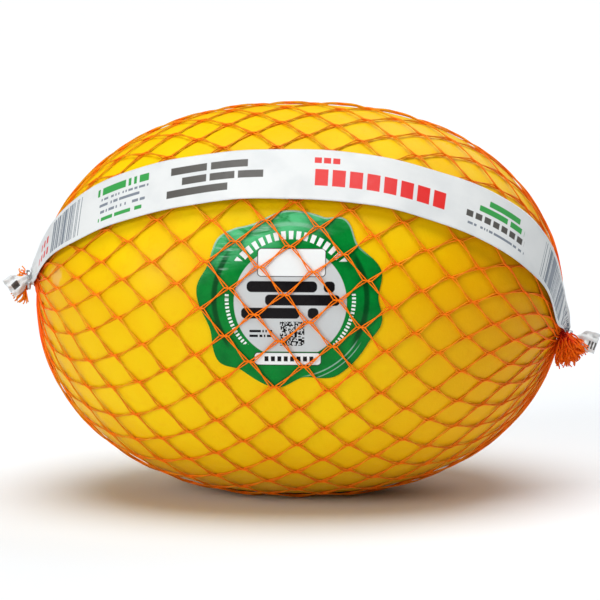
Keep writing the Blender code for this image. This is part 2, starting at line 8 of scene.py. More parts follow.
import bmesh
import bpy
import numpy as np
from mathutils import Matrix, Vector


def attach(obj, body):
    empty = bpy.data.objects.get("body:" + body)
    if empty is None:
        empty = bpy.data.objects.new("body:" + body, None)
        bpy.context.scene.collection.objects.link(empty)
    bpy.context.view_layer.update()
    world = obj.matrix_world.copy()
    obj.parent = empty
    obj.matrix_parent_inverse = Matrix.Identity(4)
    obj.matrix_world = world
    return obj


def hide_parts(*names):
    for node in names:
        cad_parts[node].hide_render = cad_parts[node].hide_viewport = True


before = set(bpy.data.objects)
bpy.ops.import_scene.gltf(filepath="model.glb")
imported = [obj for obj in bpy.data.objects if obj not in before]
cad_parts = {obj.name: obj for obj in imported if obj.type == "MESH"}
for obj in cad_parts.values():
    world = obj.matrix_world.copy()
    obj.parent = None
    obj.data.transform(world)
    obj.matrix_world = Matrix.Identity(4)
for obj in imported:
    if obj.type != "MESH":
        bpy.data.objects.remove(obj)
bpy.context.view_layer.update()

# ---------------------------------------------------------------------------------------------- melon
# The fruit itself: one ripe canary melon with a smooth waxy rind, golden yellow and more orange at the
# ends. Part of that orange is painted shade: strongest at the right end and lower down, and on the
# underside. It lies on a small pressed flat. The stem scar is corky, the blossom scar a faint dimple.

MM = 0.001
HALF_LENGTH, HALF_HEIGHT = 92.0, 68.8
LENGTH_POWER, ROUND_POWER = 2.265, 2.077
REST_HEIGHT, FLAT_SHARPNESS, FLAT_REACH = 1.2, 4.0, 8.0
MIDDLE = np.array([-0.4, -0.9, 68.55])
RIND_RINGS, RIND_STEPS = 200, 240
RIND_WAVE, RIND_RIB = 0.16, 0.05
STEM_SCAR, STEM_SCAR_RADIUS, STEM_SCAR_DEPTH = (-84.0, -27.0, 11.5), 4.5, 0.7
BLOSSOM_SCAR, BLOSSOM_SCAR_RADIUS, BLOSSOM_SCAR_DEPTH = (91.0, 9.0, 6.0), 3.5, 0.4

RIND_GOLD = (0.89, 0.535, 0.001, 1.0)
RIND_LEMON = (0.91, 0.605, 0.002, 1.0)
RIND_ORANGE = (0.82, 0.345, 0.001, 1.0)
RIND_SPECK = (0.97, 0.64, 0.01, 1.0)
SCAR_CORK = (0.90, 0.56, 0.17, 1.0)


def unit(vector):
    vector = np.asarray(vector, float)
    return vector / np.linalg.norm(vector, axis=-1, keepdims=True)


def ease(value):
    value = np.clip(value, 0.0, 1.0)
    return value * value * (3.0 - 2.0 * value)


def crosswise(vectors, along):
    """The part of each vector at right angles to the given directions, at unit length."""
    return unit(vectors - along * np.sum(vectors * along, -1, keepdims=True))


def meet_rind(start, direction, low=0.0, high=2.0 * HALF_LENGTH):
    """Where rays from inside the melon leave its rind; points are about its middle."""
    shape = np.broadcast_shapes(np.shape(start), np.shape(direction))[:-1]
    low, high = np.full(shape, low), np.full(shape, high)
    for _ in range(32):
        half = (low + high) / 2.0
        point = start + direction * half[..., None]
        inside = (np.abs(point[..., 0]) / HALF_LENGTH) ** LENGTH_POWER + (
            np.hypot(point[..., 1], point[..., 2]) / HALF_HEIGHT) ** ROUND_POWER < 1.0
        low, high = np.where(inside, half, low), np.where(inside, high, half)
    return start + direction * low[..., None]


def rind_normal(points):
    radius = np.maximum(np.hypot(points[..., 1], points[..., 2]), 1e-6)
    slope_x = LENGTH_POWER * (np.abs(points[..., 0]) / HALF_LENGTH) ** (LENGTH_POWER - 1) / HALF_LENGTH
    slope_r = ROUND_POWER * (radius / HALF_HEIGHT) ** (ROUND_POWER - 1) / HALF_HEIGHT / radius
    return unit(np.stack([slope_x * np.sign(points[..., 0]), slope_r * points[..., 1],
                          slope_r * points[..., 2]], -1))


def grid_faces(rows, columns, closed=False):
    """Quads of a grid of points, row after row; closed joins the last column to the first."""
    across = np.arange(columns if closed else columns - 1)
    down = np.arange(rows - 1)[:, None] * columns
    a, b = down + across, down + (across + 1) % columns
    return np.stack([a, b, b + columns, a + columns], -1).reshape(-1, 4).tolist()


def make_piece(name, points, faces, edges=(), **marks):
    """A smooth mesh object from points in millimetres; marks are vectors kept for its finish."""
    mesh = bpy.data.meshes.new(name)
    mesh.from_pydata((np.asarray(points) * MM).tolist(), list(edges), faces)
    for mark, values in marks.items():
        values = np.asarray(values, float)
        kind = "FLOAT" if values.ndim == 1 else "FLOAT_VECTOR"
        layer = mesh.attributes.new(mark, kind, "POINT")
        layer.data.foreach_set("value" if values.ndim == 1 else "vector", values.ravel())
    mesh.shade_smooth()
    piece = bpy.data.objects.new(name, mesh)
    bpy.context.scene.collection.objects.link(piece)
    return piece


def face_outwards(piece):
    work = bmesh.new()
    work.from_mesh(piece.data)
    bmesh.ops.recalc_face_normals(work, faces=work.faces)
    work.to_mesh(piece.data)
    work.free()


def settle_modifiers(piece):
    """Keep the shape that the modifiers give, as a plain mesh."""
    graph = bpy.context.evaluated_depsgraph_get()
    graph.update()
    mesh = bpy.data.meshes.new_from_object(piece.evaluated_get(graph))
    piece.modifiers.clear()
    piece.data = mesh


class Finish:
    """One material: its shader and the nodes that colour and roughen it."""

    def __init__(self, name, **shader):
        self.material = bpy.data.materials.new(name)
        self.material.use_nodes = True
        self.tree = self.material.node_tree
        self.shader = self.tree.nodes["Principled BSDF"]
        for socket, value in shader.items():
            self.give(socket.replace("_", " "), value)

    def give(self, socket, value):
        """Feed one of the shader's own sockets."""
        self.feed(self.shader.inputs[socket], value)

    def feed(self, socket, value):
        if isinstance(value, bpy.types.NodeSocket):
            self.tree.links.new(value, socket)
        else:
            socket.default_value = value

    def add(self, kind, inputs, output=0, **settings):
        node = self.tree.nodes.new(kind)
        for name, value in settings.items():
            setattr(node, name, value)
        for socket, value in inputs.items():
            self.feed(node.inputs[socket], value)
        return node.outputs[output]

    def place(self):
        return self.add("ShaderNodeTexCoord", {}, "Object")

    def mark(self, name, output="Vector"):
        return self.add("ShaderNodeAttribute", {}, output, attribute_name=name)

    def stretched(self, vector, scale):
        return self.add("ShaderNodeMapping", {"Vector": vector, "Scale": scale})

    def noise(self, vector, scale, detail=3.0, roughness=0.5, distortion=0.0):
        return self.add("ShaderNodeTexNoise", {"Vector": vector, "Scale": scale, "Detail": detail,
                                               "Roughness": roughness, "Distortion": distortion}, "Fac")

    def span(self, value, low, high, to_low=0.0, to_high=1.0):
        return self.add("ShaderNodeMapRange", {"Value": value, "From Min": low, "From Max": high,
                                               "To Min": to_low, "To Max": to_high},
                        interpolation_type="SMOOTHSTEP")

    def sum(self, kind, *values):
        return self.add("ShaderNodeMath", dict(enumerate(values)), operation=kind)

    def both(self, first, second):
        return self.sum("MULTIPLY", first, second)

    def either(self, first, second):
        return self.sum("MAXIMUM", first, second)

    def between(self, value, low, low_full, high_full, high):
        """1 from low_full to high_full, fading to 0 at low and at high."""
        return self.both(self.span(value, low, low_full), self.span(value, high, high_full))

    def stripes(self, value, pitch, share):
        """1 on evenly spaced bars that fill a share of each pitch."""
        return self.sum("LESS_THAN", self.sum("FRACT", self.sum("DIVIDE", value, pitch)), share)

    def vector(self, kind, *values, output=0):
        return self.add("ShaderNodeVectorMath", dict(enumerate(values)), output, operation=kind)

    def apart(self, place, centre):
        return self.vector("DISTANCE", place, centre, output="Value")

    def split(self, vector):
        node = self.tree.nodes.new("ShaderNodeSeparateXYZ")
        self.feed(node.inputs[0], vector)
        return node.outputs

    def mix(self, share, under, over):
        return self.add("ShaderNodeMix", {0: share, 6: under, 7: over}, 2, data_type="RGBA")

    def relief(self, height, depth, strength=1.0):
        normal = self.add("ShaderNodeBump", {"Height": height, "Distance": depth, "Strength": strength})
        self.give("Normal", normal)

    def roughen(self, place, scale, detail, low, high):
        """Roughness that drifts between two values over the surface."""
        self.give("Roughness", self.span(self.noise(place, scale, detail), 0.3, 0.7, low, high))


angles = np.linspace(-math.pi / 2, math.pi / 2, RIND_RINGS + 1)[1:-1]
turns = np.linspace(0.0, 2 * math.pi, RIND_STEPS, endpoint=False)
along = HALF_LENGTH * np.sign(angles) * np.abs(np.sin(angles)) ** (2 / LENGTH_POWER)
radii = HALF_HEIGHT * np.cos(angles) ** (2 / ROUND_POWER)
rind = np.stack([along[:, None] + 0 * turns, -radii[:, None] * np.cos(turns),
                 radii[:, None] * np.sin(turns)], -1).reshape(-1, 3)
rind = np.vstack([rind, [[-HALF_LENGTH, 0, 0], [HALF_LENGTH, 0, 0]]])
round_about = np.arctan2(rind[:, 2], -rind[:, 1])
plump = np.hypot(rind[:, 1], rind[:, 2]) / HALF_HEIGHT
wave = RIND_WAVE * (1 + np.sin(3 * round_about + 0.021 * rind[:, 0] + 0.6) * np.cos(0.047 * rind[:, 0] + 1.1))
wave += RIND_RIB * (1 + np.cos(10 * round_about + 0.9 * np.sin(rind[:, 0] / 31)))
sunk = wave * ease(plump * 1.6)
stem_place = meet_rind(np.zeros(3), unit(STEM_SCAR))
blossom_place = meet_rind(np.zeros(3), unit(BLOSSOM_SCAR))
for scar, size, depth in ((stem_place, STEM_SCAR_RADIUS, STEM_SCAR_DEPTH),
                          (blossom_place, BLOSSOM_SCAR_RADIUS, BLOSSOM_SCAR_DEPTH)):
    away = rind - scar
    spoke = np.arctan2(away[:, 2], away[:, 1])
    sunk += depth * (1 - ease(np.linalg.norm(away, axis=1) / size)) * (1 + 0.18 * np.cos(7 * spoke))
rind = rind - rind_normal(rind) * sunk[:, None] + MIDDLE
above = rind[:, 2] - REST_HEIGHT
pressed = np.logaddexp(0.0, above * FLAT_SHARPNESS) / FLAT_SHARPNESS
rind[:, 2] = REST_HEIGHT + np.where(rind[:, 2] < FLAT_REACH, pressed, above)
faces = grid_faces(len(angles), RIND_STEPS, closed=True)
last = (len(angles) - 1) * RIND_STEPS
for step in range(RIND_STEPS):
    following = (step + 1) % RIND_STEPS
    faces += [(len(rind) - 2, following, step), (len(rind) - 1, last + step, last + following)]
melon = make_piece("melon_rind", rind, faces)
face_outwards(melon)

wax = Finish("waxy_rind", Specular_IOR_Level=0.10, Specular_Tint=(1.0, 0.94, 0.75, 1.0))
spot = wax.place()
patches = wax.noise(spot, 22.0, 3.0, 0.55, 0.6)
mottle = wax.noise(spot, 260.0, 4.0, 0.6)
streaks = wax.noise(wax.stretched(spot, (0.16, 1.0, 1.0)), 190.0, 3.0, 0.55)
specks = wax.add("ShaderNodeTexVoronoi", {"Vector": spot, "Scale": 310.0, "Randomness": 1.0}, "Distance")
to_right, _, up_high = wax.split(spot)
# Orange ends: partly the rind's own colour, partly painted shade, strongest at the right end and fading towards the
# top.
orange_ends_and_shade = wax.either(wax.span(to_right, -0.010, 0.085), wax.span(to_right, -0.055, -0.093, 0.0, 0.4))
orange_ends_and_shade = wax.both(orange_ends_and_shade, wax.span(up_high, 0.076, 0.118, 1.0, 0.25))
# Painted shade: the underside of the rind turns a darker orange towards the floor.
underside_shade = wax.span(up_high, 0.040, 0.002)
skin_tone = wax.mix(wax.span(patches, 0.36, 0.66), RIND_GOLD, RIND_LEMON)
for share, tone in ((wax.both(orange_ends_and_shade, 0.75), RIND_ORANGE),
                    (wax.both(underside_shade, 0.42), RIND_ORANGE),
                    (wax.span(mottle, 0.52, 0.78, 0.0, 0.22), RIND_ORANGE),
                    (wax.span(streaks, 0.55, 0.80, 0.0, 0.30), RIND_LEMON),
                    (wax.span(specks, 0.13, 0.03, 0.0, 0.22), RIND_SPECK)):
    skin_tone = wax.mix(share, skin_tone, tone)
from_scar = wax.apart(spot, tuple((stem_place + MIDDLE) * MM))
ragged = wax.span(wax.noise(spot, 420.0, 4.0), 0.3, 0.7, -0.0012, 0.0012)
cork = wax.both(wax.span(wax.sum("ADD", from_scar, ragged), 0.0052, 0.0022), 0.70)
wax.give("Base Color", wax.mix(cork, skin_tone, SCAR_CORK))
satin = wax.span(wax.noise(spot, 75.0, 3.0), 0.3, 0.7, 0.34, 0.46)
wax.give("Roughness", wax.either(satin, wax.both(cork, 0.8)))
pores = wax.noise(spot, 900.0, 2.0, 0.5)
wax.relief(wax.sum("ADD", wax.both(streaks, 0.6), pores), 0.00010, 0.7)
melon.data.materials.append(wax.material)
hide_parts("melon")
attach(melon, "root")

# -------------------------------------------------------------------------------------- seal sticker
# A lobed paper seal with a glossy green print, pressed on the rind under the net. A ring is embossed
# near its rim, and its upper left edge has a few small creases. The print is plain bars and windows.
# Its colour also carries painted light and shade: a painted sheen at the top left and on the ring's top,
# painted highlights along creases, ridges and rim, and painted shade in the dark arcs of the groove.

SEAL_OUTWARD = (-0.048, -0.989, 0.139)
SEAL_RINGS, SEAL_STEPS = 44, 288
SEAL_LIFT, SEAL_THICK = 0.06, 0.16
SEAL_RIM = ((1.2, 29.4), (17.6, 31.8), (38.6, 28.9), (56.2, 32.4), (69.0, 29.5), (92.5, 29.7), (115.0, 28.1),
            (140.4, 31.8), (158.0, 30.0), (173.6, 31.7), (200.1, 28.8), (221.5, 32.0), (235.7, 29.0),
            (260.0, 30.1), (279.2, 26.6), (302.2, 30.0), (330.2, 29.8), (345.7, 31.5))
SEAL_GROOVE, SEAL_GROOVE_DEPTH = 24.9, 0.10
SEAL_CREASE, SEAL_RIDGE, SEAL_CURL = 0.30, 0.14, 0.22
WINDOW_CORNER, WINDOW_LINE = 1.2, 0.25

SEAL_GREEN = (0.001, 0.225, 0.030, 1.0)
SEAL_DARK = (0.001, 0.075, 0.014, 1.0)
SEAL_SHEEN = (0.10, 0.55, 0.23, 1.0)
SEAL_GROOVE_SHADE = (0.001, 0.035, 0.008, 1.0)
SEAL_WORN_AND_HIGHLIGHT = (0.42, 0.60, 0.52, 1.0)
SEAL_PALE = (0.60, 0.62, 0.62, 1.0)
SEAL_WHITE = (0.86, 0.88, 0.87, 1.0)
SEAL_BLACK = (0.008, 0.007, 0.008, 1.0)


def seal_axes():
    """Centre of the seal on the rind and its right, up and outward directions."""
    outward = unit(SEAL_OUTWARD)
    right = unit(np.cross((0.0, 0.0, 1.0), outward))
    return meet_rind(np.zeros(3), outward), right, np.cross(outward, right), outward


def seal_edge(turn):
    """Radius of the rim: soft lobes, each drawn by its tip and the dip beside it."""
    at = np.radians([bearing for bearing, _ in SEAL_RIM])
    at, size = np.append(at, at[0] + 2 * math.pi), np.append([r for _, r in SEAL_RIM], SEAL_RIM[0][1])
    turn = np.where(turn < at[0], turn + 2 * math.pi, turn)
    index = np.clip(np.searchsorted(at, turn, "right") - 1, 0, len(at) - 2)
    share = ease((turn - at[index]) / (at[index + 1] - at[index]))
    return size[index] * (1 - share) + size[index + 1] * share


seal_middle, seal_right, seal_up, seal_out = seal_axes()
turns = np.linspace(0.0, 2 * math.pi, SEAL_STEPS, endpoint=False)
shares = np.linspace(0.0, 1.0, SEAL_RINGS + 1)[1:] ** 0.85
reach = np.outer(shares, seal_edge(turns))
flat = np.stack([reach * np.cos(turns), reach * np.sin(turns)], -1).reshape(-1, 2)
flat = np.vstack([[0.0, 0.0], flat])


def seal_sheet(lift):
    """One face of the paper, with its pressed groove, small creases, ridges and curled rim."""
    points = meet_rind(seal_middle + np.outer(flat[:, 0], seal_right) + np.outer(flat[:, 1], seal_up),
                       seal_out, -32.0, 0.001)
    far = np.hypot(flat[:, 0], flat[:, 1])
    turn = np.degrees(np.arctan2(flat[:, 1], flat[:, 0]))
    groove = SEAL_GROOVE_DEPTH * np.exp(-((far - SEAL_GROOVE) / 0.55) ** 2)
    upper_left = np.exp(-((turn - 133) / 24) ** 2) * ease((far - 22) / 5)
    slant = np.sin(flat[:, 0] * 1.7 - flat[:, 1] * 2.3 + np.sin(flat[:, 1]) * 1.2)
    creases = SEAL_CREASE * upper_left * (0.5 + 0.5 * slant) ** 2
    lower_right = np.exp(-((turn + 56) / 20) ** 4)
    ridges = np.exp(-((far - 26.3) / 0.30) ** 2) + np.exp(-((far - 27.7) / 0.25) ** 2)
    curl = SEAL_CURL * ease((far - 27.5) / 4) * (0.5 + 0.5 * np.cos(np.radians(turn) * 4 + 0.7))
    height = lift - groove + creases + SEAL_RIDGE * ridges * lower_right + curl
    return points + rind_normal(points) * height[:, None] + MIDDLE


top, under = seal_sheet(SEAL_LIFT + SEAL_THICK), seal_sheet(SEAL_LIFT)
from_rim = np.concatenate([[SEAL_RIM[0][1]], (seal_edge(turns) - reach).ravel()])
faces = [tuple(i + 1 for i in face) for face in grid_faces(SEAL_RINGS, SEAL_STEPS, closed=True)]
faces += [(0, 1 + step, 1 + (step + 1) % SEAL_STEPS) for step in range(SEAL_STEPS)]
count = len(top)
rim = 1 + (SEAL_RINGS - 1) * SEAL_STEPS
walls = [(rim + s, rim + (s + 1) % SEAL_STEPS, count + rim + (s + 1) % SEAL_STEPS, count + rim + s)
         for s in range(SEAL_STEPS)]
seal = make_piece("seal_sticker_paper", np.vstack([top, under]),
                  faces + [tuple(i + count for i in face[::-1]) for face in faces] + walls,
                  print_mm=np.vstack([np.c_[flat, 0 * flat[:, 0]]] * 2), rim_mm=np.tile(from_rim, 2))
face_outwards(seal)

stamp = Finish("seal_print", Specular_IOR_Level=0.05, Coat_Weight=0.10, Coat_Roughness=0.05)


def printed_box(finish, place, low, high, corner=0.4, soft=0.12):
    """Share of ink inside a box with rounded corners; sizes in millimetres of the printed sheet."""
    middle = tuple((a + b) / 2 for a, b in zip(low, high)) + (0.0,)
    half = tuple((b - a) / 2 - corner for a, b in zip(low, high)) + (0.0,)
    past = finish.vector("SUBTRACT", finish.vector("ABSOLUTE", finish.vector("SUBTRACT", place, middle)), half)
    past = finish.vector("MULTIPLY", finish.vector("MAXIMUM", past, (0.0, 0.0, 0.0)), (1.0, 1.0, 0.0))
    return finish.span(finish.vector("LENGTH", past, output="Value"), corner + soft, corner - soft)


def printed_cells(finish, place, cell, filled, seed):
    """A seeded share of small cells of ink."""
    cells = finish.vector("FLOOR", finish.vector("ADD", finish.vector("DIVIDE", place, (cell[0], cell[1], 1.0)),
                                                 (0.5, 0.5, 0.5)))
    chance = finish.add("ShaderNodeTexWhiteNoise", {"Vector": cells, "W": seed}, "Value", noise_dimensions="4D")
    return finish.sum("LESS_THAN", chance, filled)


sheet = stamp.mark("print_mm")
sheet_x, sheet_y, _ = stamp.split(sheet)
reach = stamp.vector("LENGTH", sheet, output="Value")
bearing = stamp.sum("ARCTAN2", sheet_y, sheet_x)
cloudy = stamp.noise(sheet, 0.12, 3.0, 0.6)
ink = stamp.mix(stamp.span(cloudy, 0.35, 0.75, 0.0, 0.45), SEAL_GREEN, SEAL_DARK)

# Painted sheen: the top left of the print is mixed to a paler green in streaks, for the gloss of the upper lobes.
to_top = stamp.vector("DOT_PRODUCT", sheet, (-0.35, 0.94, 0.0), output="Value")
sheen_streaks = stamp.noise(stamp.stretched(sheet, (0.10, 0.30, 1.0)), 1.0, 4.0, 0.6, 1.2)
painted_sheen = stamp.both(stamp.span(to_top, 14.0, 24.5), stamp.span(sheen_streaks, 0.30, 0.62, 0.15, 0.95))
ink = stamp.mix(painted_sheen, ink, SEAL_SHEEN)
# Dark arcs left and right on the embossed ring: partly a printed line, partly painted shade in the groove.
pressed = stamp.both(stamp.between(reach, 24.4, 25.1, 26.0, 27.0),
                     stamp.span(stamp.sum("ABSOLUTE", sheet_x), 19.5, 22.5))
ink = stamp.mix(stamp.both(pressed, 0.80), ink, SEAL_GROOVE_SHADE)

# Pale streaks along the creases at the upper left: partly whitened ink, partly painted highlight.
slanted = stamp.add("ShaderNodeMapping", {"Vector": sheet, "Rotation": (0.0, 0.0, -0.62),
                                          "Scale": (0.10, 0.85, 1.0)})
worn_and_highlight = stamp.span(stamp.noise(slanted, 1.0, 4.0, 0.6, 0.6), 0.52, 0.70)
upper_left = stamp.span(stamp.apart(sheet, (-14.0, 17.5, 0.0)), 17.5, 9.0)
worn_and_highlight = stamp.both(worn_and_highlight, stamp.both(upper_left, stamp.span(reach, 22.6, 25.0)))
# Painted highlight: pale lines along the embossed ridges at the lower right.
lower_right = stamp.span(stamp.apart(sheet, (15.0, -22.3, 0.0)), 12.5, 8.0)
ring_lines = stamp.either(stamp.between(reach, 26.0, 26.2, 26.4, 26.6),
                          stamp.between(reach, 27.5, 27.6, 27.8, 27.9))
# Painted sheen: a pale arc on the top of the ring.
top_arc = stamp.both(stamp.between(reach, 24.2, 24.8, 25.4, 26.2), stamp.span(sheet_y, 21.0, 24.2))
worn_and_highlight = stamp.either(worn_and_highlight, stamp.both(ring_lines, lower_right))
worn_and_highlight = stamp.either(worn_and_highlight, stamp.both(top_arc, 0.5))
ink = stamp.mix(stamp.both(worn_and_highlight, 0.62), ink, SEAL_WORN_AND_HIGHLIGHT)
# A pale edge along the top of the rim: partly the paper's edge, partly painted highlight.
rim_paper_and_highlight = stamp.both(stamp.span(stamp.mark("rim_mm", "Fac"), 0.75, 0.30), stamp.span(sheet_y, 13.0, 19.0))
ink = stamp.mix(stamp.both(rim_paper_and_highlight, 0.75), ink, SEAL_WORN_AND_HIGHLIGHT)


def seal_box(low, high, corner):
    return printed_box(stamp, sheet, low, high, corner)


disc = stamp.both(stamp.span(stamp.apart(sheet, (0.0, -1.1, 0.0)), 19.05, 18.8),
                  seal_box((-30.0, -17.6), (30.0, 16.2), 0.3))
ink = stamp.mix(disc, ink, SEAL_PALE)
for low, high in (((-10.9, 7.6), (11.6, 16.7)), ((-11.9, -22.0), (10.2, -18.1))):
    outline = [tuple(side + way * WINDOW_LINE for side in corner) for way, corner in ((-1, low), (1, high))]
    ink = stamp.mix(seal_box(*outline, WINDOW_CORNER + 0.2), ink, SEAL_BLACK)
    ink = stamp.mix(seal_box(low, high, WINDOW_CORNER), ink, SEAL_WHITE)
marks = seal_box((-14.6, 2.2), (9.0, 5.9), 1.6)
for low, high in (((-8.4, -2.2), (16.6, 1.4)), ((-16.4, -6.6), (3.2, -3.0)), ((11.2, 2.2), (14.9, 5.9)),
                  ((5.9, -6.6), (9.5, -3.0))):
    marks = stamp.either(marks, seal_box(low, high, 1.4))
code = stamp.both(seal_box((-3.4, -15.6), (4.8, -7.6), 0.2),
                  printed_cells(stamp, sheet, (0.42, 0.42), 0.52, 3.0))
dashes = stamp.both(printed_cells(stamp, sheet, (0.5, 8.0), 0.72, 5.0), stamp.stripes(sheet_y, 1.6, 0.5))
dashes = stamp.both(seal_box((-13.6, -13.4), (-6.0, -10.2), 0.2), dashes)
count_bars = stamp.both(seal_box((-9.4, -20.9), (7.8, -19.2), 0.2), stamp.stripes(sheet_x, 2.15, 0.62))
marks = stamp.either(stamp.either(marks, code), stamp.either(dashes, count_bars))
ink = stamp.mix(marks, ink, SEAL_BLACK)
ring_bars = stamp.both(stamp.stripes(bearing, 0.118, 0.60), stamp.between(reach, 19.9, 20.1, 22.7, 22.9))
ring_bars = stamp.both(ring_bars, stamp.span(sheet_y, 12.4, 12.8))
fine_bars = stamp.both(stamp.stripes(bearing, 0.058, 0.55), stamp.between(reach, 20.6, 20.7, 21.9, 22.0))
fine_bars = stamp.both(fine_bars, stamp.between(sheet_y, -15.4, -15.0, 1.6, 2.0))
ink = stamp.mix(stamp.either(ring_bars, fine_bars), ink, SEAL_WHITE)
stamp.give("Base Color", ink)
stamp.roughen(sheet, 0.45, 3.0, 0.20, 0.36)
stamp.relief(stamp.noise(sheet, 0.30, 4.0, 0.6), 0.00022, 0.8)
seal.data.materials.append(stamp.material)
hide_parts("seal_sticker")
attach(seal, "root")

# ----------------------------------------------------------------------------------------------- net
# A knitted tube of thin orange plastic filaments, pulled tight over the fruit and the seal. Two
# filaments run side by side in each strand, and part where strands cross, which leaves small openings.

NET_COLUMNS, NET_SIDE = 27, 12.6
NET_FIRST_LATITUDE, NET_FIRST_TURN = math.radians(6.19), math.radians(2.56)
NET_TILT = (math.radians(4.21), math.radians(7.38))
NET_YAW = (math.radians(0.77), math.radians(7.04))
NET_SMALLEST_ROW, NET_LAST_RADIUS = 10.0, 6.2
FILAMENT_RADIUS, FILAMENT_SIDES = 0.235, 5
LOWER_LAYER, UPPER_LAYER = 0.32, 0.70
KNOT_REACH, PAIR_GAP = 1.75, 0.15
KNOT_FULLNESS = 0.42
NET_OVER_SEAL = 0.38
NET_SLACK = 0.12
LEFT_NECK, RIGHT_NECK = (-0.983, -0.17, 0.0), (0.93, -0.29, -0.225)
NECK_RADIUS, NECK_END = 1.42, 5.5
OUTER_FLOOR, INNER_FLOOR, NET_CLEARANCE, TWIN_LIFT = 0.42, 0.84, 1.5, 0.11
NET_SEED, KNOT_SHIFT_ALONG, KNOT_SHIFT_ROUND = 27, 0.22, 0.20

NET_ORANGE = (0.78, 0.260, 0.004, 1.0)
NET_AMBER = (0.86, 0.40, 0.006, 1.0)
NET_KNOT = (0.98, 0.290, 0.004, 1.0)
NET_RED = (0.95, 0.032, 0.004, 1.0)
NET_ROOT_SHADE = (0.30, 0.006, 0.003, 1.0)


def net_place(latitude, turn, lift=0.0):
    """Points above the rind about the melon's middle, with their normals. Turn 0 faces the front."""
    latitude, turn = np.broadcast_arrays(np.asarray(latitude, float), np.asarray(turn, float))
    share = (latitude + math.pi / 2) / math.pi
    tilt = NET_TILT[0] + (NET_TILT[1] - NET_TILT[0]) * share
    yaw = NET_YAW[0] + (NET_YAW[1] - NET_YAW[0]) * share
    x, y, z = np.sin(latitude), -np.cos(latitude) * np.cos(turn), np.cos(latitude) * np.sin(turn)
    x, z = x * np.cos(tilt) + z * np.sin(tilt), -x * np.sin(tilt) + z * np.cos(tilt)
    x, y = x * np.cos(yaw) + y * np.sin(yaw), -x * np.sin(yaw) + y * np.cos(yaw)
    skin = meet_rind(np.zeros(3), np.stack([x, y, z], -1))
    normal = rind_normal(skin)
    return skin + normal * np.asarray(lift)[..., None], normal


def over_seal(points):
    """1 where the net lies on the seal, fading to 0 beside it."""
    away = points - seal_middle
    distance = np.hypot(away @ seal_right, away @ seal_up)
    return np.where(points[..., 1] < 0, 1 - ease((distance - 31.5) / 6.0), 0.0)


def net_rows():
    """Latitudes of the half rows of knots, and millimetres for each radian of latitude there."""
    grid = np.linspace(-math.pi / 2, math.pi / 2, 3601)
    skin = meet_rind(np.zeros(3), np.stack([np.sin(grid), np.cos(grid), 0.0 * grid], -1))
    distance = np.linalg.norm(skin, axis=-1) + NET_CLEARANCE
    radius, slope = distance * np.cos(grid), np.hypot(np.gradient(distance, grid), distance)

    def step(latitude):
        across = math.pi * np.interp(latitude, grid, radius) / NET_COLUMNS
        return math.sqrt(NET_SIDE ** 2 - across ** 2) / np.interp(latitude, grid, slope)

    rows = {0: NET_FIRST_LATITUDE}
    for way in (1, -1):
        latitude, row = NET_FIRST_LATITUDE, 0
        while True:
            latitude += way * step(latitude + way * step(latitude) / 2)
            row += way
            if abs(latitude) > 1.5 or np.interp(latitude, grid, radius) < NET_SMALLEST_ROW:
                to_pole = math.asin(NET_LAST_RADIUS / (HALF_LENGTH + NET_CLEARANCE))
                rows[row] = way * (math.pi / 2 - to_pole)
                break
            rows[row] = latitude
    return rows, lambda latitude: np.interp(latitude, grid, slope)


def neck_frame(side):
    """Pole point, neck direction and two directions across it, front and up."""
    pole = net_place(side * math.pi / 2, 0.0)[0] + MIDDLE
    axis = unit(LEFT_NECK if side < 0 else RIGHT_NECK)
    front = crosswise(net_place(side * 1.2, 0.0)[0] - net_place(side * 1.2, math.pi)[0], axis)
    return pole, axis, front, np.cross(front, axis) * side


def neck_path(side, turn, fill, lift):
    """From the last knots over the rind's end and up into the clipped neck."""
    pole, axis, front, up = neck_frame(side)
    points = []
    for radius, height in ((5.4, lift + 0.15), (4.2, lift + 0.55), (3.0, 1.5)):
        latitude = side * (math.pi / 2 - math.asin(radius / HALF_LENGTH))
        points.append(net_place(latitude, turn, height)[0] + MIDDLE)
    outward = front * math.cos(turn) + up * math.sin(turn)
    for radius, height in ((1.15, 2.1), (1.0, 2.8), (1.0, 3.6), (1.0, NECK_END)):
        flare = 0.5 if height < 2.5 else 0.0
        points.append(pole + axis * height + outward * (radius * fill * NECK_RADIUS + flare))
    return points


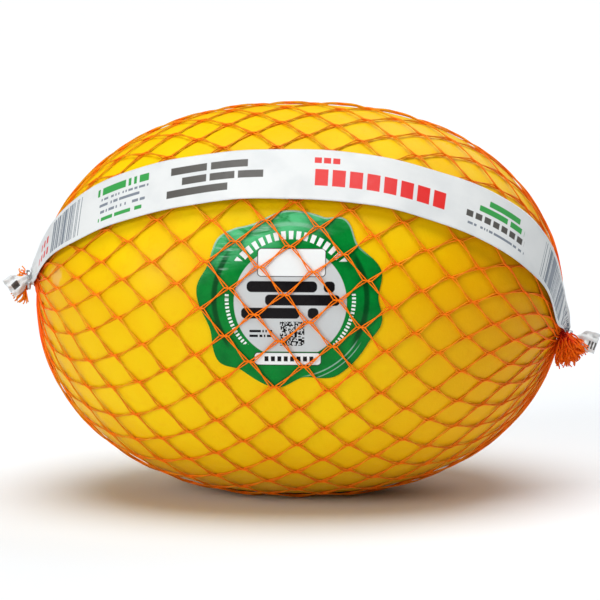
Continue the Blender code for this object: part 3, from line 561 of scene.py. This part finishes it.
rows, row_slope = net_rows()
row_numbers = sorted(rows)
row_latitudes = np.array([rows[row] for row in row_numbers])
chance = np.random.default_rng(NET_SEED)
shift_lat = chance.normal(0.0, KNOT_SHIFT_ALONG, (len(row_numbers), 2 * NET_COLUMNS))
shift_turn = chance.normal(0.0, KNOT_SHIFT_ROUND, (len(row_numbers), 2 * NET_COLUMNS))
span_shares = np.array([0.0, 0.16, 0.33, 0.50, 0.67, 0.84])
paths, redness, thickness = [], [], []
for way in (1, -1):
    for strand in range(NET_COLUMNS):
        columns = strand + way * np.array(row_numbers) / 2.0
        knot_index = np.round(columns * 2).astype(int) % (2 * NET_COLUMNS)
        knots_lat = row_latitudes + shift_lat[np.arange(len(row_numbers)), knot_index] / row_slope(row_latitudes)
        ring = np.maximum(np.cos(row_latitudes) * HALF_HEIGHT, 8.0)
        knots_turn = NET_FIRST_TURN + columns * 2 * math.pi / NET_COLUMNS + (
            shift_turn[np.arange(len(row_numbers)), knot_index] / ring)
        steps = (np.arange(len(row_numbers) - 1)[:, None] + span_shares).ravel()
        steps = np.append(steps, len(row_numbers) - 1.0)
        part = steps - np.floor(steps)
        apart = ease(np.minimum(part, 1 - part) / 0.34)
        latitude = np.interp(steps, np.arange(len(row_numbers)), knots_lat)
        sparse = ease((np.cos(latitude) * HALF_HEIGHT - 5.0) / 22.0)
        dwell = KNOT_REACH / np.maximum(np.interp(steps, np.arange(len(row_numbers) - 1) + 0.5,
                                                  np.diff(row_latitudes)) * row_slope(latitude), 4.0)
        held = np.clip((part - dwell) / (1 - 2 * dwell), 0.0, 1.0)
        ring_now = np.maximum(np.cos(latitude) * HALF_HEIGHT, 6.0)
        for twin in (-1, 1):
            along_span = np.floor(steps) + (held if twin > 0 else part)
            turn_now = np.interp(along_span, np.arange(len(row_numbers)), knots_turn)
            turn_now = turn_now + twin * way * (PAIR_GAP * (0.35 + 0.65 * apart)) / ring_now * sparse
            lat = latitude + twin * PAIR_GAP * apart / row_slope(latitude) * sparse
            layer, floor_height = (LOWER_LAYER, INNER_FLOOR) if way > 0 else (UPPER_LAYER, OUTER_FLOOR)
            slack = NET_SLACK * 0.5 * (1 + np.sin(steps * 2.1 + strand * 1.7)) * apart * sparse
            base, normal = net_place(lat, turn_now)
            lift = layer + TWIN_LIFT * twin * (1 - 0.4 * apart) + slack + NET_OVER_SEAL * over_seal(base)
            path = base + normal * lift[:, None] + MIDDLE
            path[:, 2] = np.maximum(path[:, 2], floor_height)
            fill = math.sqrt(chance.random())
            left = neck_path(-1, turn_now[0] + chance.normal(0, 0.05), fill, layer)[::-1]
            right = neck_path(1, turn_now[-1] + chance.normal(0, 0.05), fill, layer)
            path = np.vstack([left, path, right])
            paths.append(path)
            near = np.abs(path[:, 0] - MIDDLE[0])
            on_seal = np.pad(over_seal(base), (len(left), len(right)))
            knotted = np.pad((1 - apart) * sparse, (len(left), len(right))) * (1 - on_seal)
            redness.append(0.85 * ease((near - 83.0) / 11.0) + 0.40 * on_seal + 0.35 * knotted)
            thickness.append(0.94 - 0.38 * ease((near - 86.0) / 7.0) + KNOT_FULLNESS * knotted)


def strand_spinner():
    """Node tree that spins round plastic filaments along drawn paths."""
    tree = bpy.data.node_groups.new("spin_filaments", "GeometryNodeTree")
    tree.is_modifier = True
    sockets = {}
    for label, kind in (("Paths", "NodeSocketGeometry"), ("Filament Radius", "NodeSocketFloat"),
                        ("Filament Sides", "NodeSocketInt"), ("Waver", "NodeSocketFloat"),
                        ("Waver Seed", "NodeSocketFloat"), ("Plastic", "NodeSocketMaterial")):
        sockets[label] = tree.interface.new_socket(label, in_out="INPUT", socket_type=kind).identifier
    tree.interface.new_socket("Filaments", in_out="OUTPUT", socket_type="NodeSocketGeometry")
    nodes, link = tree.nodes, tree.links.new
    given, result = nodes.new("NodeGroupInput"), nodes.new("NodeGroupOutput")
    where, waver = nodes.new("GeometryNodeInputPosition"), nodes.new("ShaderNodeTexNoise")
    waver.noise_dimensions = "4D"
    waver.inputs["Scale"].default_value = 140.0
    waver.inputs["Detail"].default_value = 1.0
    centred, scaled = nodes.new("ShaderNodeVectorMath"), nodes.new("ShaderNodeVectorMath")
    centred.operation, scaled.operation = "SUBTRACT", "SCALE"
    centred.inputs[1].default_value = (0.5, 0.5, 0.5)
    move, wire = nodes.new("GeometryNodeSetPosition"), nodes.new("GeometryNodeMeshToCurve")
    size, taper = nodes.new("GeometryNodeSetCurveRadius"), nodes.new("GeometryNodeInputNamedAttribute")
    taper.data_type = "FLOAT"
    taper.inputs["Name"].default_value = "thickness"
    outline, sweep = nodes.new("GeometryNodeCurvePrimitiveCircle"), nodes.new("GeometryNodeCurveToMesh")
    sweep.inputs["Fill Caps"].default_value = True
    smooth, real = nodes.new("GeometryNodeSetShadeSmooth"), nodes.new("GeometryNodeRealizeInstances")
    coat = nodes.new("GeometryNodeSetMaterial")
    link(where.outputs[0], waver.inputs["Vector"])
    link(given.outputs["Waver Seed"], waver.inputs["W"])
    link(waver.outputs["Color"], centred.inputs[0])
    link(centred.outputs[0], scaled.inputs[0])
    link(given.outputs["Waver"], scaled.inputs["Scale"])
    link(given.outputs["Paths"], move.inputs["Geometry"])
    link(scaled.outputs[0], move.inputs["Offset"])
    link(move.outputs[0], wire.inputs[0])
    link(wire.outputs[0], size.inputs["Curve"])
    link(taper.outputs[0], size.inputs["Radius"])
    link(given.outputs["Filament Sides"], outline.inputs["Resolution"])
    link(given.outputs["Filament Radius"], outline.inputs["Radius"])
    link(size.outputs[0], sweep.inputs["Curve"])
    link(outline.outputs["Curve"], sweep.inputs["Profile Curve"])
    link(sweep.outputs[0], smooth.inputs[0])
    link(smooth.outputs[0], real.inputs[0])
    link(real.outputs[0], coat.inputs["Geometry"])
    link(given.outputs["Plastic"], coat.inputs["Material"])
    link(coat.outputs[0], result.inputs[0])
    return tree, sockets


filament_tree, filament_sockets = strand_spinner()


def spin_piece(name, paths, radius, sides, waver, seed, plastic, **marks):
    """One mesh of filaments along lists of points."""
    edges, start = [], 0
    for path in paths:
        edges += [(start + i, start + i + 1) for i in range(len(path) - 1)]
        start += len(path)
    marks = {mark: np.concatenate(values) for mark, values in marks.items()}
    piece = make_piece(name, np.vstack(paths), [], edges, **marks)
    spin = piece.modifiers.new("Spin", "NODES")
    spin.node_group = filament_tree
    for label, value in (("Filament Radius", radius * MM), ("Filament Sides", sides), ("Waver", waver * MM),
                         ("Waver Seed", seed), ("Plastic", plastic)):
        spin[filament_sockets[label]] = value
    settle_modifiers(piece)
    return piece


yarn = Finish("net_plastic", Specular_IOR_Level=0.12)
spot = yarn.place()
red_share = yarn.mark("redness", "Fac")
dye = yarn.mix(yarn.span(yarn.noise(spot, 160.0, 2.0), 0.35, 0.7), NET_ORANGE, NET_AMBER)
dye = yarn.mix(yarn.span(red_share, 0.02, 0.32), dye, NET_KNOT)
towards_right, _, above_floor = yarn.split(spot)
# Redder towards the right end and near the floor.
right_or_low = yarn.either(yarn.span(towards_right, 0.015, 0.090, 0.0, 0.60),
                           yarn.span(above_floor, 0.050, 0.005, 0.0, 0.45))
red_share = yarn.either(red_share, right_or_low)
dye = yarn.mix(yarn.both(red_share, 0.8), dye, NET_RED)
# Painted shade: fibre roots at the right clip, where redness passes 1, are darkened to a deep red.
yarn.give("Base Color", yarn.mix(yarn.span(red_share, 1.0, 1.7), dye, NET_ROOT_SHADE))
yarn.roughen(spot, 700.0, 2.0, 0.34, 0.55)
yarn.relief(yarn.noise(spot, 2600.0, 2.0), 0.00004, 0.6)

net = spin_piece("net_filaments", paths, FILAMENT_RADIUS, FILAMENT_SIDES, 0.12, 4.0, yarn.material,
                 redness=redness, thickness=thickness)
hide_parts("net")
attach(net, "root")

# -------------------------------------------------------------------------------------- frayed ends
# Past each clip the tube is cut and its filaments fray: a dense brush that hangs at the right, a few
# short curls at the left. They are the same filaments and the split fibres of them.

RIGHT_FIBRES, LEFT_FIBRES = 600, 54
DOWN = np.array([0.0, 0.0, -1.0])
FIBRE_JOINTS = 8


def fibre(start, first, axis, goal, bend, sag, long):
    """One bent fibre: out of the bundle along its first step, then round to its goal direction."""
    path = [start, start + first]
    for joint in range(1, FIBRE_JOINTS + 1):
        share = joint / FIBRE_JOINTS
        heading = unit(axis * (1 - ease(share * 2.6)) * 0.8 + goal + bend * math.sin(share * 4.4) + DOWN * sag * share)
        path.append(path[-1] + heading * long / FIBRE_JOINTS)
    return np.array(path)


def frayed_paths(side, number, seed):
    """Fibres that leave the neck at the clip and fan out, each with its own bend."""
    pole, axis, front, up = neck_frame(side)
    pick = np.random.default_rng(seed)
    made, red, thick = [], [], []
    for index in range(number):
        spin = pick.random() * 2 * math.pi
        around = front * math.cos(spin) + up * math.sin(spin)
        start = pole + axis * (NECK_END - 0.8) + around * math.sqrt(pick.random()) * NECK_RADIUS
        first = axis * 0.7 + around * 0.1
        bend, sag = unit(pick.normal(0.0, 1.0, 3)) * 0.62, 0.25
        if side < 0:
            low = index % 3 > 0
            fan = math.radians(pick.uniform(-155.0, -75.0) if low else pick.uniform(120.0, 178.0))
            long = pick.uniform(4.2, 7.2) if low else pick.uniform(2.2, 3.8)
            goal = unit([math.cos(fan), pick.uniform(-0.5, 0.5), math.sin(fan)])
            start = start + np.array([0.0, 0.3, -2.2 if low else 1.1])
            bend, roots, tips, thickest = bend * 1.4, 0.9, 0.1, 1.05
        elif index % 5 > 1:
            spin = math.radians(pick.uniform(-125.0, 65.0))
            around = front * math.cos(spin) + up * math.sin(spin)
            start = pole + axis * pick.uniform(0.9, 4.4) + around * pick.uniform(1.5, 3.0)
            first = (around + axis * 0.2) * pick.uniform(0.9, 1.8)
            fan = math.radians(pick.uniform(-112.0, -20.0))
            long = pick.uniform(4.0, 7.2) * (0.82 + 0.18 * math.cos(fan + math.radians(70.0)))
            goal = unit([math.cos(fan), -pick.uniform(0.1, 0.8), math.sin(fan)])
            roots, tips, thickest = 1.7, 0.45, 0.85
        else:
            fan = math.radians(pick.uniform(-112.0, -4.0))
            goal = unit([math.cos(fan), pick.uniform(-0.75, 0.45), math.sin(fan)])
            long = pick.uniform(4.4, 7.6) * (0.80 + 0.20 * math.cos(fan + math.radians(50.0)))
            roots, tips, thickest = 1.6, 0.45, 0.80
        path = fibre(start, first, axis, goal, bend, sag, long)
        made.append(path)
        # Redness above 1 at the roots paints shade into the gathered root.
        red.append(tips + (roots - tips) * np.linspace(1.0, 0.0, len(path)) ** 1.3)
        thick.append(np.linspace(thickest, 0.6 * thickest, len(path)))
    return made, red, thick


for side, number, name, seed in ((-1, LEFT_FIBRES, "net_fray_left", 5), (1, RIGHT_FIBRES, "net_fray_right", 11)):
    made, red, thick = frayed_paths(side, number, seed)
    fray = spin_piece(name, made, FILAMENT_RADIUS, 4, 0.95, float(seed), yarn.material,
                      redness=red, thickness=thick)
    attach(fray, "root")

# --------------------------------------------------------------------------------------- label band
# One strip of thin white printed film over the front top of the net. Both ends are drawn together
# under the clips, and stick out past them as small crumpled tails.

FILM_HALF_WIDTH, FILM_THICK, FILM_LIFT = 10.6, 0.12, 1.95
FILM_TURN, FILM_TURN_SLOPE = math.radians(44.5), 0.085
FILM_TAPER, FILM_LAST = math.radians(58.0), math.radians(80.0)
FILM_POLE_HALF_WIDTH, FILM_RIGHT_BULGE, FILM_OVER_SEAL = 7.0, 2.2, 0.6
FILM_ROWS, FILM_COLUMNS = 460, 34
FILM_TURN_IN, FILM_CLIP_FROM, FILM_CLIP_TO = (3.0, 3.15), 3.55, 5.3
FILM_NECK_RADIUS, FILM_NECK_HALF_WIDTH, FILM_TAIL_HALF_WIDTH, FILM_TAIL_CURVE = 2.0, 3.0, 3.7, 0.06
FILM_NECK_TURN = {-1: math.radians(38.0), 1: math.radians(85.0)}
FILM_TAIL = {-1: (-6.0, -2.0, -4.0), 1: (8.7, -1.6, -2.8)}
FILM_TAIL_FACE = {-1: (-0.1, -1.0, 0.25), 1: (0.05, -1.0, 0.40)}
FILM_PLEAT, FILM_CRUMPLE, FILM_RIPPLE, FILM_EDGE_RIPPLE = 0.42, 0.48, 0.16, 0.10
FILM_END_STATIONS = 8

FILM_WHITE = (0.735, 0.75, 0.745, 1.0)
FILM_SHADE = (0.60, 0.625, 0.635, 1.0)
INK_RED = (0.72, 0.022, 0.020, 1.0)
INK_GREEN = (0.045, 0.33, 0.075, 1.0)
INK_GREY = (0.090, 0.085, 0.078, 1.0)
INK_BLUE_GREY = (0.20, 0.23, 0.27, 1.0)


def hermite(start, start_slope, end, end_slope, share):
    share = np.asarray(share)[:, None]
    return ((2 * share ** 3 - 3 * share ** 2 + 1) * start + (share ** 3 - 2 * share ** 2 + share) * start_slope
            + (3 * share ** 2 - 2 * share ** 3) * end + (share ** 3 - share ** 2) * end_slope)


def film_place(latitude):
    """Centre line of the film above the net: points, outward, across and along directions."""
    latitude = np.asarray(latitude, float)

    def centre(at):
        bulge = ease((at - 0.60) / 0.45) * (1.0 - ease((at - 1.15) / 0.22))
        lift = FILM_LIFT + FILM_RIGHT_BULGE * bulge + FILM_OVER_SEAL * (1.0 - ease((np.abs(at) - 0.30) / 0.30))
        return net_place(at, FILM_TURN + FILM_TURN_SLOPE * at, lift)

    point, outward = centre(latitude)
    along = unit(centre(latitude + 0.001)[0] - centre(latitude - 0.001)[0])
    across = unit(np.cross(outward, along))
    return point + MIDDLE, np.cross(along, across), across, along


def film_end(side):
    """Centres, outward and across directions, bends and half widths from the rind to the tail's end."""
    start, _, across, along = (value[0] for value in film_place([side * FILM_LAST]))
    pole, neck, front, up = neck_frame(side)
    radial = front * math.cos(FILM_NECK_TURN[side]) + up * math.sin(FILM_NECK_TURN[side])
    neck_across = unit(np.cross(radial, neck * side))
    turn_in = pole + neck * FILM_TURN_IN[1] + radial * FILM_TURN_IN[0]
    clip_ends = [pole + neck * at + radial * FILM_NECK_RADIUS for at in (FILM_CLIP_FROM, FILM_CLIP_TO)]
    length = float(np.linalg.norm(turn_in - start))

    def drawn_in(share):
        return hermite(start, along * side * length, turn_in, unit(neck * 0.12 - radial) * length, share)

    shares = np.linspace(0.0, 1.0, FILM_END_STATIONS + 1)[1:]
    blend = ease(shares)[:, None]
    travel = unit(drawn_in(shares + 0.001) - drawn_in(shares - 0.001)) * side
    acrosses = crosswise(across * (1 - blend) + neck_across * blend, travel)
    halves = FILM_POLE_HALF_WIDTH + (FILM_NECK_HALF_WIDTH - FILM_POLE_HALF_WIDTH) * ease(shares)
    tail, face = np.array(FILM_TAIL[side]), unit(FILM_TAIL_FACE[side])
    tail_shares = np.linspace(0.0, 1.0, FILM_END_STATIONS + 1)[1:]
    tail_path = hermite(clip_ends[1], neck * 4.0, clip_ends[1] + tail, tail * 0.8, tail_shares)
    tail_blend = ease(tail_shares * 1.6)[:, None]
    tail_along = unit(np.gradient(np.vstack([clip_ends[1], tail_path]), axis=0)[1:]) * side
    tail_outs = crosswise(radial * (1 - tail_blend) + face * tail_blend, tail_along)
    opening = ease(tail_shares * 1.5)
    return (np.vstack([drawn_in(shares), clip_ends, tail_path]),
            np.vstack([np.cross(travel, acrosses), radial, radial, tail_outs]),
            np.vstack([acrosses, neck_across, neck_across, np.cross(tail_outs, tail_along)]),
            np.concatenate([np.zeros(len(shares)), [1.0 / FILM_NECK_RADIUS] * 2,
                            (1 - opening) / FILM_NECK_RADIUS + FILM_TAIL_CURVE]),
            np.concatenate([halves, [FILM_NECK_HALF_WIDTH] * 2,
                            FILM_NECK_HALF_WIDTH + (FILM_TAIL_HALF_WIDTH - FILM_NECK_HALF_WIDTH) * opening]))


latitudes = np.linspace(-FILM_LAST, FILM_LAST, 61)
middle, outs, acrosses, _ = film_place(latitudes)
narrowing = ease((np.abs(latitudes) - FILM_TAPER) / (FILM_LAST - FILM_TAPER))
halves = FILM_HALF_WIDTH + (FILM_POLE_HALF_WIDTH - FILM_HALF_WIDTH) * narrowing
left, right = film_end(-1), film_end(1)
stations = [np.concatenate([before[::-1], here, after]) for before, here, after in
            zip(left, [middle, outs, acrosses, 0 * latitudes, halves], right)]
lengths = np.concatenate([[0.0], np.cumsum(np.linalg.norm(np.diff(stations[0], axis=0), axis=1))])
film_zero = np.interp(MIDDLE[0], stations[0][:, 0], lengths)
fine = np.linspace(0.0, lengths[-1], FILM_ROWS)


def refine(values):
    """Values at the fine stations, on a smooth curve through the coarse ones."""
    values = values.reshape(len(values), -1)
    slope = np.gradient(values, lengths, axis=0)
    at = np.clip(np.searchsorted(lengths, fine, "right") - 1, 0, len(lengths) - 2)
    width = lengths[at + 1] - lengths[at]
    return hermite(values[at], width[:, None] * slope[at], values[at + 1], width[:, None] * slope[at + 1],
                   (fine - lengths[at]) / width)


centres, outward, across = refine(stations[0]), unit(refine(stations[1])), unit(refine(stations[2]))
bends, widths = refine(stations[3])[:, 0], refine(stations[4])[:, 0]
places = np.linspace(-1.0, 1.0, FILM_COLUMNS)
across_mm = widths[:, None] * places
bend = np.where(np.abs(bends) < 1e-4, 1e-4, bends)[:, None]
sideways, fall = np.sin(across_mm * bend) / bend, (1 - np.cos(across_mm * bend)) / bend
from_middle = fine - film_zero
gathered = ease((6.9 - widths) / 3.4)[:, None]
tail_share = np.maximum(ease((9.5 - fine) / 5.0), ease((fine - (lengths[-1] - 11.5)) / 5.0))[:, None]
to_clip = np.minimum(np.abs(fine - lengths[FILM_END_STATIONS]), np.abs(fine - lengths[-FILM_END_STATIONS - 1]))
in_clip = np.exp(-((to_clip - 0.8) / 1.3) ** 2)[:, None]
along_mm = fine[:, None]
folding = np.sin(places * 8.5 + 0.09 * along_mm + 0.4 * np.sin(along_mm * 0.7))
pleats = FILM_PLEAT * gathered * (1 - 0.75 * in_clip) * folding
creasing = np.sin(places * 5.1 + along_mm * 1.15) * np.cos(along_mm * 0.8 + places * 2.0)
crumple = FILM_CRUMPLE * tail_share * (creasing + 0.30 * np.sin(places * 9.0 - along_mm * 1.7))
ripple = (FILM_RIPPLE * np.sin(from_middle / 9.3 + 0.8)[:, None] * places
          + FILM_EDGE_RIPPLE * np.sin(from_middle / 4.1)[:, None] * np.abs(places) ** 3)
lifted = pleats + crumple + ripple * (1 - gathered) - fall
film_points = centres[:, None] + across[:, None] * sideways[..., None] + outward[:, None] * lifted[..., None]
film_mm = np.stack([from_middle[:, None] + 0 * across_mm, places * FILM_HALF_WIDTH + 0 * across_mm, 0 * across_mm], -1)
film = make_piece("label_film_strip", film_points.reshape(-1, 3), grid_faces(FILM_ROWS, FILM_COLUMNS),
                  film_mm=film_mm.reshape(-1, 3))
body = film.modifiers.new("Thickness", "SOLIDIFY")
body.thickness, body.offset, body.use_even_offset = FILM_THICK * MM, 0.0, True
settle_modifiers(film)
face_outwards(film)

tape = Finish("label_film", Specular_IOR_Level=0.20, Coat_Weight=0.04, Coat_Roughness=0.2)
strip = tape.mark("film_mm")
strip_x = tape.split(strip)[0]


def along_film(x):
    """Distance along the film from its middle, where the film passes x millimetres."""
    return float(np.interp(x, centres[:, 0], from_middle))


def printed_row(low_x, high_x, low_y, high_y, pitch, filled, seed):
    """A row of short bars of ink: seeded ones, or with no seed evenly spaced blocks."""
    start = along_film(low_x)
    row = printed_box(tape, strip, (start, low_y), (along_film(high_x), high_y), 0.3)
    if seed:
        return tape.both(row, printed_cells(tape, strip, (pitch, 400.0), filled, seed))
    spaced = tape.sum("PINGPONG", tape.sum("SUBTRACT", strip_x, start), pitch / 2)
    gap = pitch * (1 - filled) / 2
    return tape.both(row, tape.span(spaced, gap - 0.1, gap + 0.1))


cloudy = tape.noise(strip, 0.07, 3.0)
film_tone = tape.mix(tape.span(cloudy, 0.4, 0.7, 0.0, 0.5), FILM_WHITE, FILM_SHADE)
for ink, rows_of_bars in (
        (INK_BLUE_GREY, ((-86.4, -75.6, -8.6, 8.6, 0.36, 0.55, 1.0), (83.0, 94.5, -8.6, 8.6, 0.36, 0.55, 2.0))),
        (INK_GREEN, ((-70.0, -52.0, 4.0, 7.2, 1.1, 0.86, 3.0), (-69.0, -54.0, -7.4, -5.8, 0.8, 0.80, 4.0),
                     (63.5, 74.0, 3.9, 6.3, 1.3, 0.88, 5.0), (60.5, 76.0, 0.6, 3.0, 1.3, 0.88, 6.0))),
        (INK_BLUE_GREY, ((-69.0, -52.0, 1.6, 2.6, 0.6, 0.75, 7.0), (-69.0, -55.0, -1.0, 0.2, 0.6, 0.78, 8.0),
                         (-69.0, -53.0, -3.9, -2.7, 0.6, 0.74, 9.0), (56.0, 77.0, -6.4, -5.4, 0.5, 0.76, 10.0))),
        (INK_GREY, ((-45.0, -17.0, 3.4, 6.6, 14.2, 0.90, 0), (-41.0, -12.0, -1.4, 1.8, 9.8, 0.88, 0),
                    (-46.0, -24.0, -6.2, -3.0, 22.6, 0.95, 0), (56.0, 76.5, -3.4, -0.8, 3.5, 0.72, 0),
                    (-102.2, -99.9, -4.6, 1.8, 40.0, 0.98, 0), (100.6, 103.4, -7.4, 0.6, 1.1, 0.55, 0))),
        (INK_RED, ((4.0, 13.0, 4.9, 7.3, 3.1, 0.78, 0), (4.0, 49.0, -4.6, 2.4, 5.9, 0.76, 0),
                   (-91.6, -87.4, -6.6, -2.4, 2.9, 0.5, 0), (-91.0, -87.6, 0.4, 4.6, 2.9, 0.5, 0)))):
    for row in rows_of_bars:
        film_tone = tape.mix(printed_row(*row), film_tone, ink)
tape.give("Base Color", film_tone)
tape.roughen(strip, 0.5, 3.0, 0.30, 0.46)
tape.relief(tape.noise(strip, 0.22, 3.0, 0.5), 0.00020, 0.6)
film.data.materials.append(tape.material)
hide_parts("label_band")
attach(film, "root")

# -------------------------------------------------------------------------------------------- clips
# A short length of aluminium wire at each end, bent round the gathered net and film by the clipping
# machine. It is pressed flat where the die closed it, and its two ends meet at the front.

CLIP_STATION, CLIP_RADIUS = 4.35, 3.1
CLIP_WIRE_WIDTH, CLIP_WIRE_HEIGHT = 1.25, 1.0
CLIP_RINGS, CLIP_SIDES = 72, 14
CLIP_GREY = (0.56, 0.57, 0.58, 1.0)
CLIP_DULL = (0.36, 0.37, 0.38, 1.0)
CLIP_OPENING = 8.0

metal = Finish("clip_metal", Metallic=1.0)
spot = metal.place()
scuffs = metal.noise(metal.stretched(spot, (1.0, 1.0, 3.5)), 900.0, 4.0, 0.6)
metal.give("Base Color", metal.mix(metal.span(scuffs, 0.4, 0.65), CLIP_GREY, CLIP_DULL))
metal.give("Roughness", metal.span(scuffs, 0.3, 0.7, 0.26, 0.48))
metal.relief(scuffs, 0.00005, 0.7)

for side, node in ((-1, "clip_left"), (1, "clip_right")):
    pole, axis, front, up = neck_frame(side)
    sweep = np.linspace(math.radians(CLIP_OPENING), math.radians(360.0 - CLIP_OPENING), CLIP_RINGS)
    pinch = 1.0 - 0.05 * np.cos(4 * sweep)
    flats = 1.0 - 0.16 * np.exp(-((np.degrees(sweep) - 180.0) / 26.0) ** 2)
    round_wire = np.linspace(0.0, 2 * math.pi, CLIP_SIDES, endpoint=False)
    square = np.abs(np.cos(round_wire)) ** 0.6 * np.sign(np.cos(round_wire)), np.abs(
        np.sin(round_wire)) ** 0.6 * np.sign(np.sin(round_wire))
    points = []
    for turn, pinched, flatness in zip(sweep, pinch, flats):
        outward = front * math.cos(turn) + up * math.sin(turn)
        centre = pole + axis * CLIP_STATION + outward * CLIP_RADIUS * pinched
        end = min(1.0, 0.72 + 0.28 * min(turn - sweep[0], sweep[-1] - turn) / 0.12)
        points += [centre + outward * c * CLIP_WIRE_HEIGHT / 2 * flatness * end + axis * s * CLIP_WIRE_WIDTH / 2 * end
                   for c, s in zip(*square)]
    faces = grid_faces(CLIP_RINGS, CLIP_SIDES, closed=True)
    faces += [tuple(range(CLIP_SIDES)), tuple((CLIP_RINGS - 1) * CLIP_SIDES + i for i in range(CLIP_SIDES))[::-1]]
    clip = make_piece(node + "_wire", points, faces)
    face_outwards(clip)
    clip.data.materials.append(metal.material)
    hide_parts(node)
    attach(clip, "root")

# ------------------------------------------------------------------------------------------- studio
# A white sweep under a large soft light overhead, a smaller one low at the front left, and weak ones
# low in front and behind at the right, in a dim pale surround. The camera stands 1.3 m off with a long
# lens, 8 degrees above the fruit.

CAMERA_DISTANCE, CAMERA_RISE, CAMERA_LENS, SENSOR_WIDTH = 1300.0, math.radians(8.0), 220.74, 36.0
AIM_DROP = 0.35
SWEEP_SIZE = 60.0
LIGHTS = (("key_light", (-0.66, -0.64, 0.36), 1.22, 26.0), ("top_light", (0.0, -0.08, 1.0), 2.72, 52.0),
          ("fill_light", (-0.30, -1.0, 0.02), 0.30, 40.0), ("back_light", (0.45, 0.65, 0.60), 0.8, 50.0))
SURROUND = 0.07
PAPER_DIM, PAPER_BRIGHT = (0.83, 0.86, 0.89, 1.0), (0.84, 0.87, 0.90, 1.0)

floor_mesh = bpy.data.meshes.new("sweep")
half = SWEEP_SIZE / 2
floor_mesh.from_pydata([(-half, -half, 0), (half, -half, 0), (half, half, 0), (-half, half, 0)], [], [(0, 1, 2, 3)])
floor = bpy.data.objects.new("sweep", floor_mesh)
bpy.context.scene.collection.objects.link(floor)
paper = Finish("white_paper", Specular_IOR_Level=0.1, Roughness=0.85)
paper_tone = paper.span(paper.noise(paper.place(), 3.0), 0.3, 0.7)
paper.give("Base Color", paper.mix(paper_tone, PAPER_DIM, PAPER_BRIGHT))
floor.data.materials.append(paper.material)

for name, source, power, spread in LIGHTS:
    lamp = bpy.data.lights.new(name, "SUN")
    lamp.energy, lamp.angle = power, math.radians(spread)
    light = bpy.data.objects.new(name, lamp)
    light.rotation_mode = "QUATERNION"
    light.rotation_quaternion = Vector(source).to_track_quat("Z", "Y")
    bpy.context.scene.collection.objects.link(light)

world = bpy.data.worlds.new("surround")
world.use_nodes = True
world.node_tree.nodes["Background"].inputs["Color"].default_value = (1.0, 1.0, 1.0, 1.0)
world.node_tree.nodes["Background"].inputs["Strength"].default_value = SURROUND
bpy.context.scene.world = world
bpy.context.scene.view_settings.view_transform = "Standard"

camera = bpy.data.objects.new("camera", bpy.data.cameras.new("camera"))
camera.data.lens, camera.data.sensor_width = CAMERA_LENS, SENSOR_WIDTH
camera.data.clip_start, camera.data.clip_end = 0.05, 100.0
back = Vector((0.0, -math.cos(CAMERA_RISE), math.sin(CAMERA_RISE)))
aim = Vector(MIDDLE * MM) - Vector((0.0, math.sin(CAMERA_RISE), math.cos(CAMERA_RISE))) * AIM_DROP * MM
camera.location = aim + back * CAMERA_DISTANCE * MM
camera.rotation_mode = "QUATERNION"
camera.rotation_quaternion = (-back).to_track_quat("-Z", "Y")
bpy.context.scene.collection.objects.link(camera)
bpy.context.scene.camera = camera
